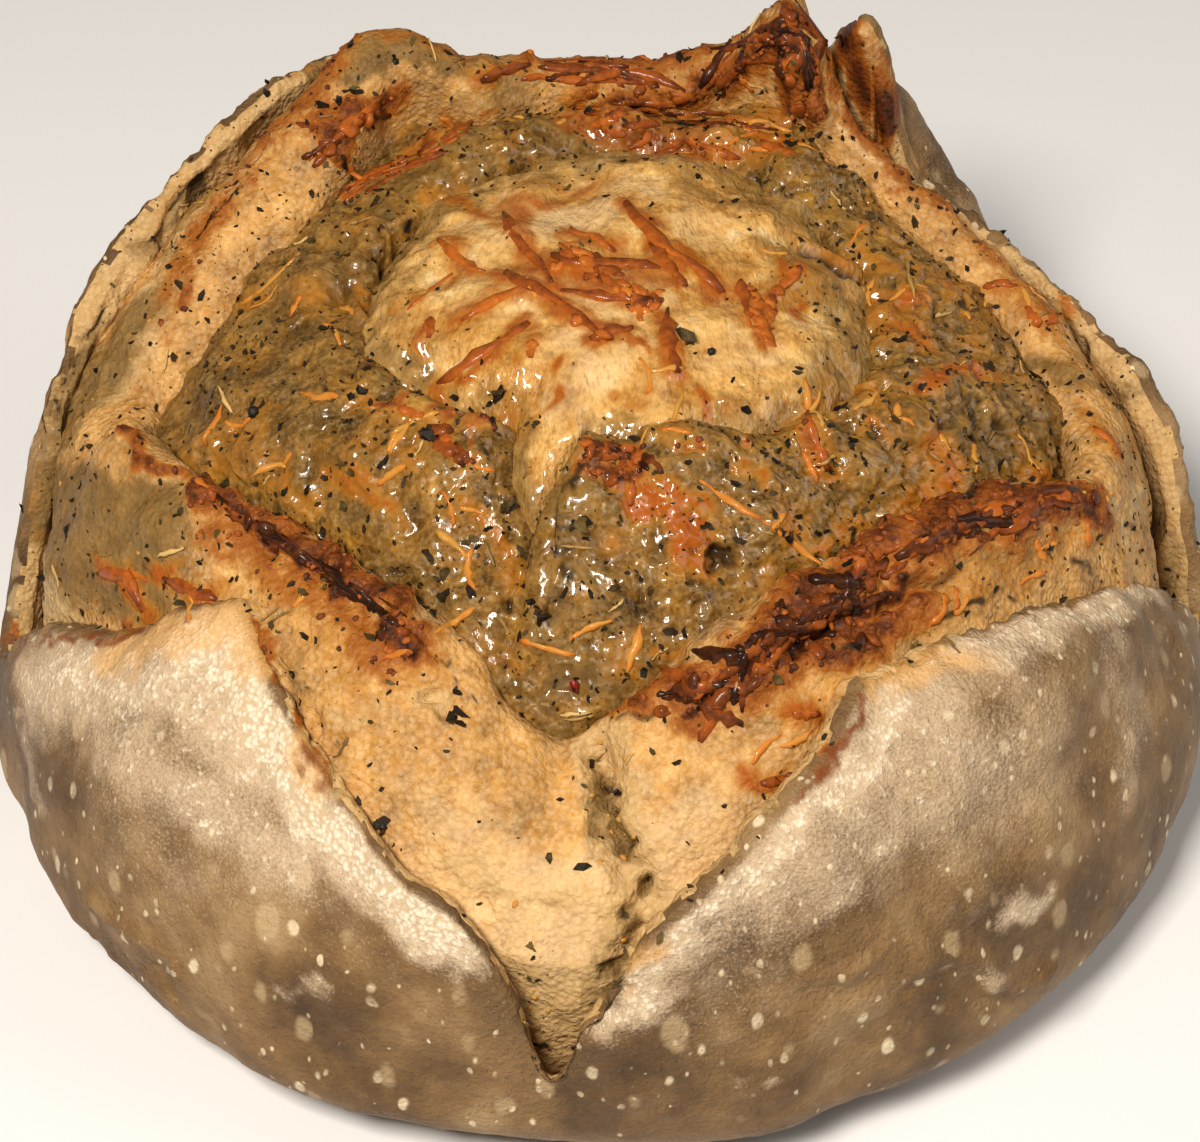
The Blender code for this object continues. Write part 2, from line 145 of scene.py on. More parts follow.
# %% Lines round the loaf
OUTLINE = (
    (0, 110.5),
    (20, 110),
    (60, 106),
    (90, 106),
    (120, 107),
    (150, 109),
    (180, 110.5),
    (205, 107),
    (230, 104),
    (250, 102),
    (270, 101.5),
    (290, 102),
    (310, 103.5),
    (335, 107.5),
)
CRUST_RIM = (
    (2, 109, 28),  # right slash's end
    (7, 107, 50),
    (14, 104, 63),
    (26, 98, 71),
    (38, 94, 75),
    (49, 90, 80),
    (57, 89, 113),  # upright tip of the back right petal
    (64, 93, 96),
    (78, 96, 78),
    (92, 101, 60),  # back slash's end
    (106, 98, 84),
    (116, 95, 97),
    (125, 94, 101),  # corner of the back left petal
    (134, 95, 98),
    (143, 97, 92),
    (156, 100, 80),
    (166, 102, 69),
    (174, 105, 47),
    (181, 108, 28),  # left slash's end
    (190, 99, 48),
    (201, 87, 61),
    (214, 71, 78),  # corner of the front left petal
    (223, 75, 76),
    (232, 80, 72),
    (243, 86, 67),
    (251, 91, 62),
    (258.5, 95, 56),
    (262, 98, 45),
    (265.6, 101, 31),  # front slash's end
    (269.5, 98, 46),
    (275, 94, 58),
    (285.6, 87, 68),
    (296.6, 80, 76),
    (306, 73, 80),  # corner of the front right petal
    (321, 74, 78),
    (336, 82, 71),
    (349, 91, 61),
    (357, 99, 48),
)
GOLDEN_RIM = (
    (4, 88, 74),
    (20, 87, 76),
    (34, 84, 82),
    (48, 80, 90),
    (56, 80, 97),
    (65, 84, 116),  # browned peak at the back right
    (73, 84, 104),
    (82, 82, 99),
    (95, 81, 98),
    (107, 80, 102),
    (118, 86, 108),  # peak at the back left
    (128, 84, 100),
    (143, 83, 90),
    (158, 84, 78),
    (168, 86, 70),
    (176, 84, 74),
    (183, 80, 82),  # curled end of the front left edge
    (192, 73, 81),
    (202, 66, 82),
    (220, 59, 82),
    (236, 58, 81),
    (247, 61, 78),
    (256, 64, 73),
    (265, 65, 69),  # point of the inner front slash
    (276, 62, 74),
    (289, 59, 82),
    (302, 57, 86),
    (318, 59, 86),
    (334, 67, 84),
    (350, 81, 78),
)
GOLDEN_SHOULDER = (
    (2, 98, 55),
    (14, 96, 62),
    (27, 93, 68),
    (49, 85, 76),
    (65, 88, 92),
    (92, 93, 78),
    (116, 90, 92),
    (134, 90, 90),
    (156, 95, 73),
    (166, 97, 64),
    (181, 99, 52),
    (196, 92, 52),
    (214, 84, 60),
    (243, 88, 56),
    (258, 92, 52),
    (268, 93, 50),
    (285, 89, 56),
    (306, 84, 62),
    (336, 89, 58),
    (350, 95, 54),
)
HERB_RIM = (
    (0, 50, 94),
    (18, 54, 94),
    (36, 62, 95),
    (56, 62, 100),
    (74, 65, 100),
    (90, 66, 100),
    (111, 62, 98),
    (131, 58, 95),
    (152, 52, 93),
    (170, 45, 94),
    (188, 39, 96),
    (210, 31, 96),
    (228, 28, 95),
    (241, 33, 91),
    (252, 38, 85),  # point of the innermost slash
    (257, 33, 94),
    (263, 26, 101),  # browned ear right of the point
    (285, 27, 101),
    (312, 34, 99),
    (338, 44, 96),
)


def slopes_of(places, values):
    """The slopes of a curve that goes through its points and never overshoots them."""
    rises = np.diff(values) / np.diff(places)
    before, after = rises[:-1], rises[1:]
    total = np.where(before + after == 0, 1, before + after)
    return np.where(before * after > 0, 2 * before * after / total, 0)


def line_round(table, azimuths):
    """The radius, and the height where the table has one, at these azimuths, in metres."""
    table = np.array(table, float)
    turn = np.eye(1, table.shape[1])[0] * 360
    wrapped = np.vstack([table[-2:] - turn, table, table[:2] + turn])
    places = wrapped[:, 0]
    i = np.clip(np.searchsorted(places, azimuths) - 1, 0, len(places) - 2)
    width = places[i + 1] - places[i]
    t = (azimuths - places[i]) / width
    found = []
    for values in wrapped[:, 1:].T * MM:
        slopes = np.concatenate([[0], slopes_of(places, values), [0]])
        found.append(
            (2 * t**3 - 3 * t**2 + 1) * values[i]
            + (t**3 - 2 * t**2 + t) * width * slopes[i]
            + (3 * t**2 - 2 * t**3) * values[i + 1]
            + (t**3 - t**2) * width * slopes[i + 1]
        )
    return found


print("crust rim dips to", min(point[2] for point in CRUST_RIM), "mm at its slashes' ends")

# %% [markdown]
# ## Sections
# At each azimuth we cut the layer with an upright half-plane through the loaf's axis. The section is a
# path: from the axis out along the layer's inner floor, up its inner wall, over the rounded lip at the
# rim, down the outside, and back under to the axis. Lines and Bezier curves make such a path, and
# because their ends are arrays, one call draws the sections at every azimuth at once.

# %% Paths in the section's plane
def line(a, b):
    """A straight path from a to b, as a function of the share t of its way."""
    return lambda t: (a[0] + (b[0] - a[0]) * t, a[1] + (b[1] - a[1]) * t)


def curve(a, b, c, d):
    """A Bezier curve from a to d, drawn towards b and c."""
    def at(t):
        weights = ((1 - t) ** 3, 3 * t * (1 - t) ** 2, 3 * t**2 * (1 - t), t**3)
        return tuple(sum(w * p[k] for w, p in zip(weights, (a, b, c, d))) for k in (0, 1))

    return at


def flank(rim, foot, corner_share):
    """An outer side: it leaves the rim flat, turns at a soft corner, and ends upright."""
    corner = (foot[0], foot[1] + corner_share * (rim[1] - foot[1]))
    start = tuple(rim[k] + 0.5 * (corner[k] - rim[k]) for k in (0, 1))
    end = tuple(foot[k] + 0.55 * (corner[k] - foot[k]) for k in (0, 1))
    return curve(rim, start, end, foot)


def lip(rim, thickness, rise):
    """The inner end of a rounded rim, and the curve that goes over the rim from there."""
    inner = (rim[0] - 0.8 * thickness, rim[1] - 0.6 * thickness)
    up = (rim[0] - 0.9 * thickness, rim[1] + (rise - 0.1) * thickness)
    over = (rim[0] - 0.3 * thickness, rim[1] + (rise + 0.1) * thickness)
    return inner, curve(inner, up, over, rim)


print("a lip of 10 mm starts", lip((0, 0), 10, 0)[0], "mm from its rim")

# %% [markdown]
# ### Sizes of the sections
# A few sizes hold all round the loaf. Other things happen only in one stretch of it, such as a thicker
# crust at the back left, and such a stretch has a middle azimuth and a half width.

# %% Sizes of the sections
WIDEST_HEIGHT = 18 * MM  # where the crust is widest
BASE_INSET = 26 * MM  # from there in to the edge of the flat base
BULGE = 8 * MM  # how far the crust swells at a shoulder
CRUST_THICKNESS = 4.2 * MM
CRUST_EXTRA = 3.5 * MM  # how much thicker it gets in its thick stretch
CRUST_FLOOR = 14 * MM
GOLDEN_INSET = 10 * MM  # from the outline in to the golden layer's foot
GOLDEN_FOOT = 15 * MM
GOLDEN_THICKNESS = 9 * MM
GOLDEN_EXTRA = 8 * MM
HERB_THICKNESS = 8 * MM
FLOOR = 22 * MM  # the height of the inner layers' floor
CORE_TOP = 103 * MM
DOME_RINGS = 84  # steps from the top of the dome down to its foot

# stretches round the loaf: middle azimuth and half width in degrees
UPRIGHT_TIP = (58, 12)
BACK_SHOULDER = (50.5, 15)
RIGHT_SHOULDER = (325, 40)
THICK_CRUST = (152, 32)
THICK_DOUGH = (142, 34)
SWOLLEN_CRUMB = (12, 50)
MELTED_BACK = (75, 115)
print("the loaf is", round((OUTLINE[0][1] + OUTLINE[6][1]) * MM * 1000), "mm from left to right")


# %% The four layers' sections
def ragged(azimuths, line_values, size, seed):
    """Moves a rim in and out a little, as torn and baked dough is never even."""
    across, up = line_values[0] * np.cos(np.radians(azimuths)), line_values[1] + 0 * azimuths
    round_points = np.stack([across, line_values[0] * np.sin(np.radians(azimuths)), up], axis=1)
    radius = line_values[0] + size * rough_noise(round_points, 11 * MM, seed, 2)
    height = line_values[1] + size * rough_noise(round_points, 8 * MM, seed + 9, 2)
    return radius, height


def crust_sections(az):
    """The crust: thick at the back left, with a swelling at the shoulders on the right."""
    rim = ragged(az, line_round(CRUST_RIM, az), 1.3 * MM, 11)
    outline = line_round(OUTLINE, az)[0]
    widest = (outline, WIDEST_HEIGHT + 0 * az)
    inner, edge = lip(rim, CRUST_THICKNESS + CRUST_EXTRA * near(az, *THICK_CRUST), 0.0)
    wall_foot = (np.minimum(rim[0] + 2 * MM, outline - 9 * MM), CRUST_FLOOR + 0 * az)
    outer = flank(rim, widest, 0.76 - 0.3 * near(az, *UPRIGHT_TIP))
    back_shoulder = near(az, *BACK_SHOULDER) * BULGE
    right_shoulder = 0.4 * near(az, *RIGHT_SHOULDER) * BULGE

    def outer_with_shoulder(t):
        r, z = outer(t)
        swell = back_shoulder * np.sin(np.pi * np.clip((t - 0.16) * 2.0, 0, 1))
        swell += right_shoulder * np.sin(np.pi * np.clip(t * 2.2, 0, 1))
        return r + 0.7 * swell, z + swell

    side = (outline, 0.45 * WIDEST_HEIGHT)
    heel = (outline - 0.45 * BASE_INSET, 0)
    under = (outline - BASE_INSET, 0)
    return (
        (1, line((0, CRUST_FLOOR), wall_foot)),
        (10, line(wall_foot, inner)),
        (10, edge),
        (74, outer_with_shoulder),
        (14, curve(widest, side, heel, under)),
        (3, line(under, (0, 0))),
    )


def golden_sections(az):
    """The golden layer: a rim, a top side that slopes out, and a side inside the crust."""
    rim = ragged(az, line_round(GOLDEN_RIM, az), 1.6 * MM, 21)
    outline = line_round(OUTLINE, az)[0]
    shoulder = line_round(GOLDEN_SHOULDER, az)
    foot = (outline - GOLDEN_INSET, GOLDEN_FOOT + 0 * az)
    thickness = GOLDEN_THICKNESS + GOLDEN_EXTRA * near(az, *THICK_DOUGH)
    inner, edge = lip(rim, thickness, 0.1)
    wall_foot = (rim[0] - thickness, rim[1] - 24 * MM)
    out, down = shoulder[0] - rim[0], rim[1] - shoulder[1]
    brow = (rim[0] + 0.45 * out, rim[1] - 0.12 * down)
    cheek = (shoulder[0] - 0.22 * out, shoulder[1] + 0.32 * down)
    top_side = curve(rim, brow, cheek, shoulder)
    start = top_side(1.0)
    fall = start[1] - foot[1]
    filled = near(az, *SWOLLEN_CRUMB)  # here the crumb swelled out against the crust
    hip = (start[0] + (0.7 + 0.5 * filled) * (foot[0] - start[0]), start[1] - (0.35 - 0.25 * filled) * fall)
    shin = (foot[0], foot[1] + 0.35 * fall)
    return (
        (1, line((0, FLOOR), (wall_foot[0], FLOOR + 0 * az))),
        (9, line((wall_foot[0], FLOOR + 0 * az), inner)),
        (14, edge),
        (58, top_side),
        (22, curve(start, hip, shin, foot)),
        (1, line(foot, (0 * outline, 9 * MM + 0 * az))),
    )


def herb_sections(az):
    """The herb layer: it fills the space from its own rim to the golden layer's."""
    radius, height = ragged(az, line_round(HERB_RIM, az), 1.6 * MM, 31)
    melted = near(az, *MELTED_BACK)  # here this layer ran into the core
    rim = (radius, height - 3.5 * MM * melted)
    golden_rim = line_round(GOLDEN_RIM, az)
    inner, edge = lip(rim, HERB_THICKNESS, 0.15 - 0.3 * melted)
    wall_foot = (rim[0] - 6 * MM, rim[1] - 18 * MM)
    foot = (golden_rim[0] - 1 * MM, golden_rim[1] - 20 * MM)
    low = (foot[0], FLOOR + 4 * MM + 0 * az)
    floor = FLOOR + 6 * MM
    return (
        (1, line((0, floor), (wall_foot[0], floor + 0 * az))),
        (8, line((wall_foot[0], floor + 0 * az), inner)),
        (14, edge),
        (78, flank(rim, foot, 0.72)),
        (1, line(foot, low)),
        (1, line(low, (0 * low[0], low[1]))),
    )


def core_sections(az):
    """The core: a dome whose foot is hidden behind the herb layer's rim."""
    rim = line_round(HERB_RIM, az)
    foot = (rim[0] - 1 * MM, rim[1] - 15 * MM)
    top = (0 * az, CORE_TOP + 0 * az)
    shoulder = (0.55 * foot[0], top[1])
    brow = (foot[0], foot[1] + 0.75 * (CORE_TOP - foot[1]))
    low = (foot[0] - 4 * MM, FLOOR + 9 * MM + 0 * az)
    return (
        (DOME_RINGS, curve(top, shoulder, brow, foot)),
        (2, line(foot, low)),
        (1, line(low, (0 * low[0], low[1]))),
    )


# %% [markdown]
# ## Lofting a layer
# A cylinder already has what a layer needs: a point in the middle of each end, and columns that go
# round. So we add one, cut its side into as many rings as the section has steps, and move each point
# onto its place in the section at its azimuth. The faces keep pointing outwards, and the skin is closed.

# %% Loft a cylinder onto the sections
def cut_into_rings(cylinder, cuts):
    """Cuts the side of a cylinder of depth 1 into rings, as by hand in edit mode."""
    bpy.ops.object.mode_set(mode="EDIT")
    bpy.ops.mesh.select_all(action="DESELECT")
    bpy.ops.mesh.select_mode(type="EDGE")
    cage = bmesh.from_edit_mesh(cylinder.data)
    for edge in cage.edges:
        edge.select_set(abs(edge.verts[0].co.z - edge.verts[1].co.z) > 0.5)
    bpy.ops.mesh.subdivide(number_cuts=cuts)
    bpy.ops.object.mode_set(mode="OBJECT")


def cross_unit(a, b):
    """Unit vectors square to both, one for each row."""
    product = np.cross(a, b)
    return product / np.maximum(np.linalg.norm(product, axis=-1, keepdims=True), 1e-12)


WARP = 4.0 * MM


def grid_normals(grid):
    """The outward normals of a layer's grid of points."""
    along = np.gradient(grid, axis=0)
    around = np.roll(grid, -1, axis=1) - np.roll(grid, 1, axis=1)
    normals = cross_unit(along, around)
    normals[0], normals[-1] = normals[1], normals[-2]
    return normals


def loft(name, columns, sections_at, rim_stretch):
    """A layer: its object, and one row of numbers for each of its points."""
    azimuths = np.arange(columns) * 360 / columns
    stretches = sections_at(azimuths)
    rings = sum(count for count, _ in stretches)
    rows = [shape(step / count) for count, shape in stretches for step in range(count)]
    rows.append(stretches[-1][1](1.0))
    radius = np.array([np.broadcast_to(r, azimuths.shape) for r, _ in rows])
    height = np.array([np.broadcast_to(z, azimuths.shape) for _, z in rows])
    angle = np.radians(azimuths)
    grid = np.stack([radius * np.cos(angle), radius * np.sin(angle), height], axis=2)
    steps = np.linalg.norm(np.diff(grid, axis=0), axis=2)
    run = np.vstack([np.zeros(columns), np.cumsum(steps, axis=0)])
    rim_row = sum(count for count, _ in stretches[:rim_stretch])

    bpy.ops.object.select_all(action="DESELECT")
    bpy.ops.mesh.primitive_cylinder_add(vertices=columns, radius=1, depth=1, end_fill_type="TRIFAN")
    piece = bpy.context.object
    piece.name = piece.data.name = name
    cut_into_rings(piece, rings - 3)
    raw = np.empty(len(piece.data.vertices) * 3)
    piece.data.vertices.foreach_get("co", raw)
    raw = raw.reshape(-1, 3)
    ring = 1 + np.rint((0.5 - raw[:, 2]) * (rings - 2)).astype(int)
    centre = np.hypot(raw[:, 0], raw[:, 1]) < 0.5
    ring[centre] = np.where(raw[centre, 2] > 0, 0, rings)
    column = np.rint(np.arctan2(raw[:, 1], raw[:, 0]) / (2 * np.pi) * columns).astype(int) % columns
    layer = {
        "piece": piece,
        "grid": grid,
        "place": (ring, column),
        "points": grid.reshape(-1, 3),
        "normals": grid_normals(grid).reshape(-1, 3),
        "warped": grid.reshape(-1, 3) + WARP * rough_vectors(grid.reshape(-1, 3), 6 * MM),
        "azimuth": np.tile(azimuths, rings + 1),
        "from_rim": (run - run[rim_row]).reshape(-1),
        "marks": {},
        "rise": np.zeros(grid.shape[0] * columns),
    }
    put_in_place(layer)
    return layer


def put_in_place(layer):
    """Writes the layer's points to its mesh."""
    grid = layer["points"].reshape(layer["grid"].shape)
    coordinates = grid[layer["place"]]
    mesh = layer["piece"].data
    mesh.vertices.foreach_set("co", coordinates.reshape(-1))
    mesh.update()


LAYERS = {
    "crust": loft("crust", 800, crust_sections, 3),
    "golden": loft("golden_layer", 760, golden_sections, 3),
    "herb": loft("herb_layer", 720, herb_sections, 3),
    "core": loft("core_dome", 480, core_sections, 0),
}
for layer in LAYERS.values():
    print(layer["piece"].name, len(layer["piece"].data.polygons), "faces")

# %% [markdown]
# ## Brushes
# Browning, flour, tears and pockets each follow lines on the loaf. We give such a line as pixels of
# the photo, find where its lines of sight meet the dough, and then work on every point within a
# brush's radius of that trace. So a mark sits on the dough from any side.

# %% Traces and brushes
TRACE_STEP = 5


def build_trees():
    """The layers' surfaces in a form that a line can be shot at."""
    graph = bpy.context.evaluated_depsgraph_get()
    graph.update()
    return {key: BVHTree.FromObject(layer["piece"], graph) for key, layer in LAYERS.items()}


def first_hit(trees, origin, direction):
    """The nearest point, its normal and its layer along a line."""
    best = None
    for key, tree in trees.items():
        point, normal, _, distance = tree.ray_cast(origin, direction)
        if point is not None and (best is None or distance < best[0]):
            best = (distance, point, normal, key)
    return best[1:] if best else None


def seen_at(trees, pixel):
    """What the photo shows at a pixel: the nearest point, its normal and its layer."""
    return first_hit(trees, camera_place, line_of_sight(pixel))


def trace(trees, pixels):
    """Points on the loaf under a line of pixels of the photo."""
    spots = [pixels[0]]
    for a, b in zip(pixels, pixels[1:]):
        steps = max(1, round(math.dist(a, b) / TRACE_STEP))
        spots += [[a[k] + (b[k] - a[k]) * s / steps for k in (0, 1)] for s in range(1, steps + 1)]
    hits = [seen_at(trees, spot) for spot in spots]
    return np.array([hit[0] for hit in hits if hit])


def brush(layer, path, radius):
    """For each point 1 on the path, falling to 0 at the radius, with a ragged edge."""
    points = layer["warped"]
    close = np.zeros(len(points))
    if not len(path):
        return close
    low, high = path.min(axis=0) - radius, path.max(axis=0) + radius
    inside = np.flatnonzero(((points > low) & (points < high)).all(axis=1))
    best = np.full(len(inside), np.inf)
    for spot in path:
        best = np.minimum(best, ((points[inside] - spot) ** 2).sum(axis=1))
    close[inside] = 1 - smooth_step(np.sqrt(best), 0, radius)
    return close


def mark(layer, name):
    """The layer's named mark, one number for each point."""
    return layer["marks"].setdefault(name, np.zeros(len(layer["points"])))


def raise_mark(layer, name, values):
    """Raises the layer's named mark to these values where it is lower."""
    np.maximum(mark(layer, name), values, out=mark(layer, name))


trees = build_trees()
print("the middle of the photo shows", first_hit(trees, camera_place, sight)[2])

# %% [markdown]
# ## Relief
# Heat and steam left big swellings in the crust, lumps in the cheese, pores in the torn crumb and
# bubbles that burst. All of that is real relief, because it changes the outline and catches the light.
# Broad forms come from noise, and each crease, ridge and bubble gets its own stroke.

# %% Where single shreds of cheese lie
HERO_SHREDS = (
    # width in mm, how brown, pixels
    (2.0, 0.55, ((503, 213), (518, 240), (537, 262), (553, 282))),
    (2.6, 0.72, ((507, 273), (530, 285), (553, 297), (580, 318), (603, 336))),
    (1.8, 0.5, ((460, 320), (490, 303), (525, 286))),
    (2.4, 0.75, ((437, 383), (473, 360), (507, 336), (528, 322))),
    (2.2, 0.5, ((440, 240), (462, 262), (483, 273))),
    (1.0, 0.4, ((407, 310), (430, 290), (453, 273))),
    (2.6, 0.62, ((627, 203), (640, 222), (655, 240), (690, 262), (722, 293))),
    (2.2, 0.8, ((650, 243), (668, 262), (685, 287))),
    (2.4, 0.6, ((570, 230), (592, 236), (615, 252))),
    (2.4, 0.7, ((667, 308), (668, 340), (677, 373))),
    (2.2, 0.65, ((590, 340), (610, 330), (632, 328))),
    (2.6, 0.6, ((553, 256), (590, 264), (625, 262), (660, 268))),
    (2.4, 0.7, ((560, 290), (600, 296), (650, 300))),
    (2.0, 0.6, ((600, 270), (618, 290), (640, 305))),
    (2.2, 0.6, ((740, 280), (745, 300), (752, 318))),
    (2.2, 0.55, ((773, 295), (788, 280), (800, 268))),
    (2.0, 0.5, ((753, 313), (765, 328), (773, 347))),
    (1.8, 0.5, ((430, 318), (428, 338))),
    (1.8, 0.55, ((533, 340), (530, 358))),
    (2.2, 0.6, ((97, 572), (125, 575), (133, 590), (143, 612))),
    (2.0, 0.8, ((163, 578), (190, 590), (217, 600))),
    (2.0, 0.6, ((807, 413), (815, 440), (827, 470))),
    (2.4, 0.5, ((1093, 427), (1112, 440), (1117, 453))),
    (2.0, 0.45, ((983, 288), (1000, 283), (1017, 286))),
    (1.8, 0.5, ((1027, 307), (1040, 327))),
    (1.8, 0.45, ((1047, 325), (1060, 310), (1073, 310))),
    (2.6, 0.7, ((420, 152), (445, 140), (472, 120))),
    (2.4, 0.75, ((575, 85), (610, 70), (650, 76), (685, 92))),
    (2.0, 0.5, ((617, 103), (660, 112), (707, 117), (760, 124))),
    (2.0, 0.5, ((683, 142), (712, 148), (740, 160))),
    (2.0, 0.7, ((480, 80), (505, 70), (530, 64))),
    (2.2, 0.6, ((760, 142), (780, 148), (795, 155))),
    (2.2, 0.7, ((760, 783), (775, 780), (790, 776))),
    (1.8, 0.65, ((792, 712), (805, 716), (818, 714))),
)
PALE_SHREDS = (
    (1.2, 0.1, ((240, 305), (262, 290), (280, 272), (300, 254))),
    (1.6, 0.12, ((640, 625), (637, 645), (626, 672))),
    (1.6, 0.15, ((434, 632), (452, 625), (474, 607))),
    (1.2, 0.2, ((700, 480), (730, 502), (762, 520))),
    (1.2, 0.2, ((762, 520), (800, 548), (830, 570))),
    (1.4, 0.15, ((570, 640), (590, 628), (612, 620))),
    (1.4, 0.2, ((520, 640), (548, 650), (575, 655))),
    (1.4, 0.2, ((300, 392), (318, 398), (338, 396))),
    (1.2, 0.15, ((322, 322), (336, 330), (340, 345))),
)
print(len(HERO_SHREDS) + len(PALE_SHREDS), "single shreds")

# %% Creases and ridges
RELIEF_STROKES = (
    # radius in mm, height in mm, pixels
    (5.0, -4.0, ((600, 742), (606, 790), (612, 830), (630, 870), (640, 905), (628, 950), (600, 1010))),
    (2.0, -2.5, ((602, 750), (610, 800), (618, 842), (636, 880), (644, 915), (630, 950))),
    (6.0, 1.8, ((200, 500), (253, 520), (283, 537), (320, 567), (363, 593), (400, 627))),
    (8.0, 2.6, ((713, 676), (757, 642), (800, 604), (850, 574), (900, 546), (980, 518), (1060, 502))),
    (3.0, -2.6, ((690, 702), (748, 672), (790, 655), (840, 628), (900, 600), (960, 580))),
    (3.0, -2.0, ((775, 664), (808, 642), (838, 618))),
    (3.4, -3.6, ((815, 244), (832, 256), (852, 270))),
    (3.0, -2.0, ((215, 515), (253, 532), (300, 566), (345, 600), (385, 632))),
    (4.0, -2.0, ((350, 235), (338, 280), (338, 330), (352, 380))),
    (4.0, 1.6, ((480, 110), (600, 118), (700, 135), (770, 150), (840, 190))),
    (2.2, -1.8, ((345, 722), (375, 708), (405, 702), (432, 700))),
    (2.6, -2.2, ((432, 694), (452, 704))),
    (2.0, -1.4, ((560, 770), (588, 800), (600, 835))),
    (1.8, -1.1, ((480, 905), (540, 915), (600, 905))),
    (3.0, -1.8, ((285, 650), (300, 700), (330, 770))),
    (5.0, 1.2, ((820, 975), (880, 955), (940, 962), (990, 975), (1040, 985))),
    (3.6, -0.9, ((815, 995), (880, 975), (940, 985), (1010, 998))),
    (4.5, 1.6, ((100, 900), (130, 932), (165, 955))),
    (4.0, -1.4, ((90, 935), (125, 965), (165, 985))),
    (3.2, -2.2, ((277, 120), (233, 157), (187, 203), (147, 253), (100, 327), (77, 370), (43, 443))),
    (3.0, -1.8, ((1130, 420), (1150, 480), (1165, 540), (1180, 600))),
    (3.0, 1.4, ((887, 167), (917, 183), (993, 240), (1067, 300), (1090, 323))),
    (2.6, 1.2, ((870, 640), (880, 600), (960, 560), (1040, 530))),
)

for radius, height, pixels in RELIEF_STROKES:
    path = trace(trees, pixels)
    for layer in LAYERS.values():
        layer["rise"] += height * MM * brush(layer, path, radius * MM)
print(len(RELIEF_STROKES), "creases and ridges")

# %% [markdown]
# ### Burst bubbles
# A bubble in the cheese or the crumb bursts to a round hollow with a low raised edge. The hollow is
# also marked for painted shade, so the material paints it dark.

# %% Burst bubbles
BUBBLES = (
    # radius in mm, depth in mm, pixel
    (2.5, 1.6, (1005, 367)),
    (3.6, 1.6, (1003, 425)),
    (2.3, 1.4, (957, 475)),
    (2.2, 1.2, (1083, 351)),
    (3.6, 2.2, (721, 560)),
    (2.0, 1.2, (513, 590)),
    (2.2, 1.0, (560, 170)),
    (1.8, 1.0, (745, 390)),
    (2.4, 1.2, (880, 440)),
    (1.8, 1.0, (1040, 440)),
    (2.0, 1.0, (640, 590)),
    (2.2, 1.6, (602, 762)),
    (2.6, 1.8, (612, 802)),
    (1.8, 1.2, (592, 830)),
    (2.4, 1.8, (628, 852)),
    (2.6, 1.8, (642, 884)),
    (2.0, 1.4, (618, 908)),
    (2.2, 1.4, (648, 918)),
    (1.8, 1.2, (604, 936)),
    (2.4, 1.6, (612, 966)),
    (1.6, 1.2, (380, 712)),
    (1.8, 1.2, (405, 706)),
)


def bubble(layer, spot, radius):
    """A burst bubble's profile: -1 in its middle, and a low raised edge round it."""
    hollow = brush(layer, spot, radius)
    edge = brush(layer, spot, 1.7 * radius)
    return 0.45 * edge * (1 - hollow) - hollow


for radius, depth, pixel in BUBBLES:
    spot = trace(trees, [pixel])
    for layer in LAYERS.values():
        shape = bubble(layer, spot, radius * MM)
        layer["rise"] += depth * MM * shape
        # painted shade in the bubble's hollow
        raise_mark(layer, "deep", -shape)
print(len(BUBBLES), "bubbles")

# %% [markdown]
# ### Melted pools
# A shred that melted in leaves a low swelling, and a golden pool that is wider than the shred and
# stronger where the shred burned more.

# %% Melted pools under the shreds
POOL_HEIGHT = 0.5 * MM
POOL_WIDER = 3.6  # in mm, more than the shred's width

for width, burn, pixels in HERO_SHREDS:
    path = trace(trees, pixels)
    for layer in LAYERS.values():
        layer["rise"] += POOL_HEIGHT * brush(layer, path, 1.2 * width * MM)
        raise_mark(layer, "gold", (0.8 + burn) * brush(layer, path, (POOL_WIDER + width) * MM))
print(len(HERO_SHREDS), "melted pools")
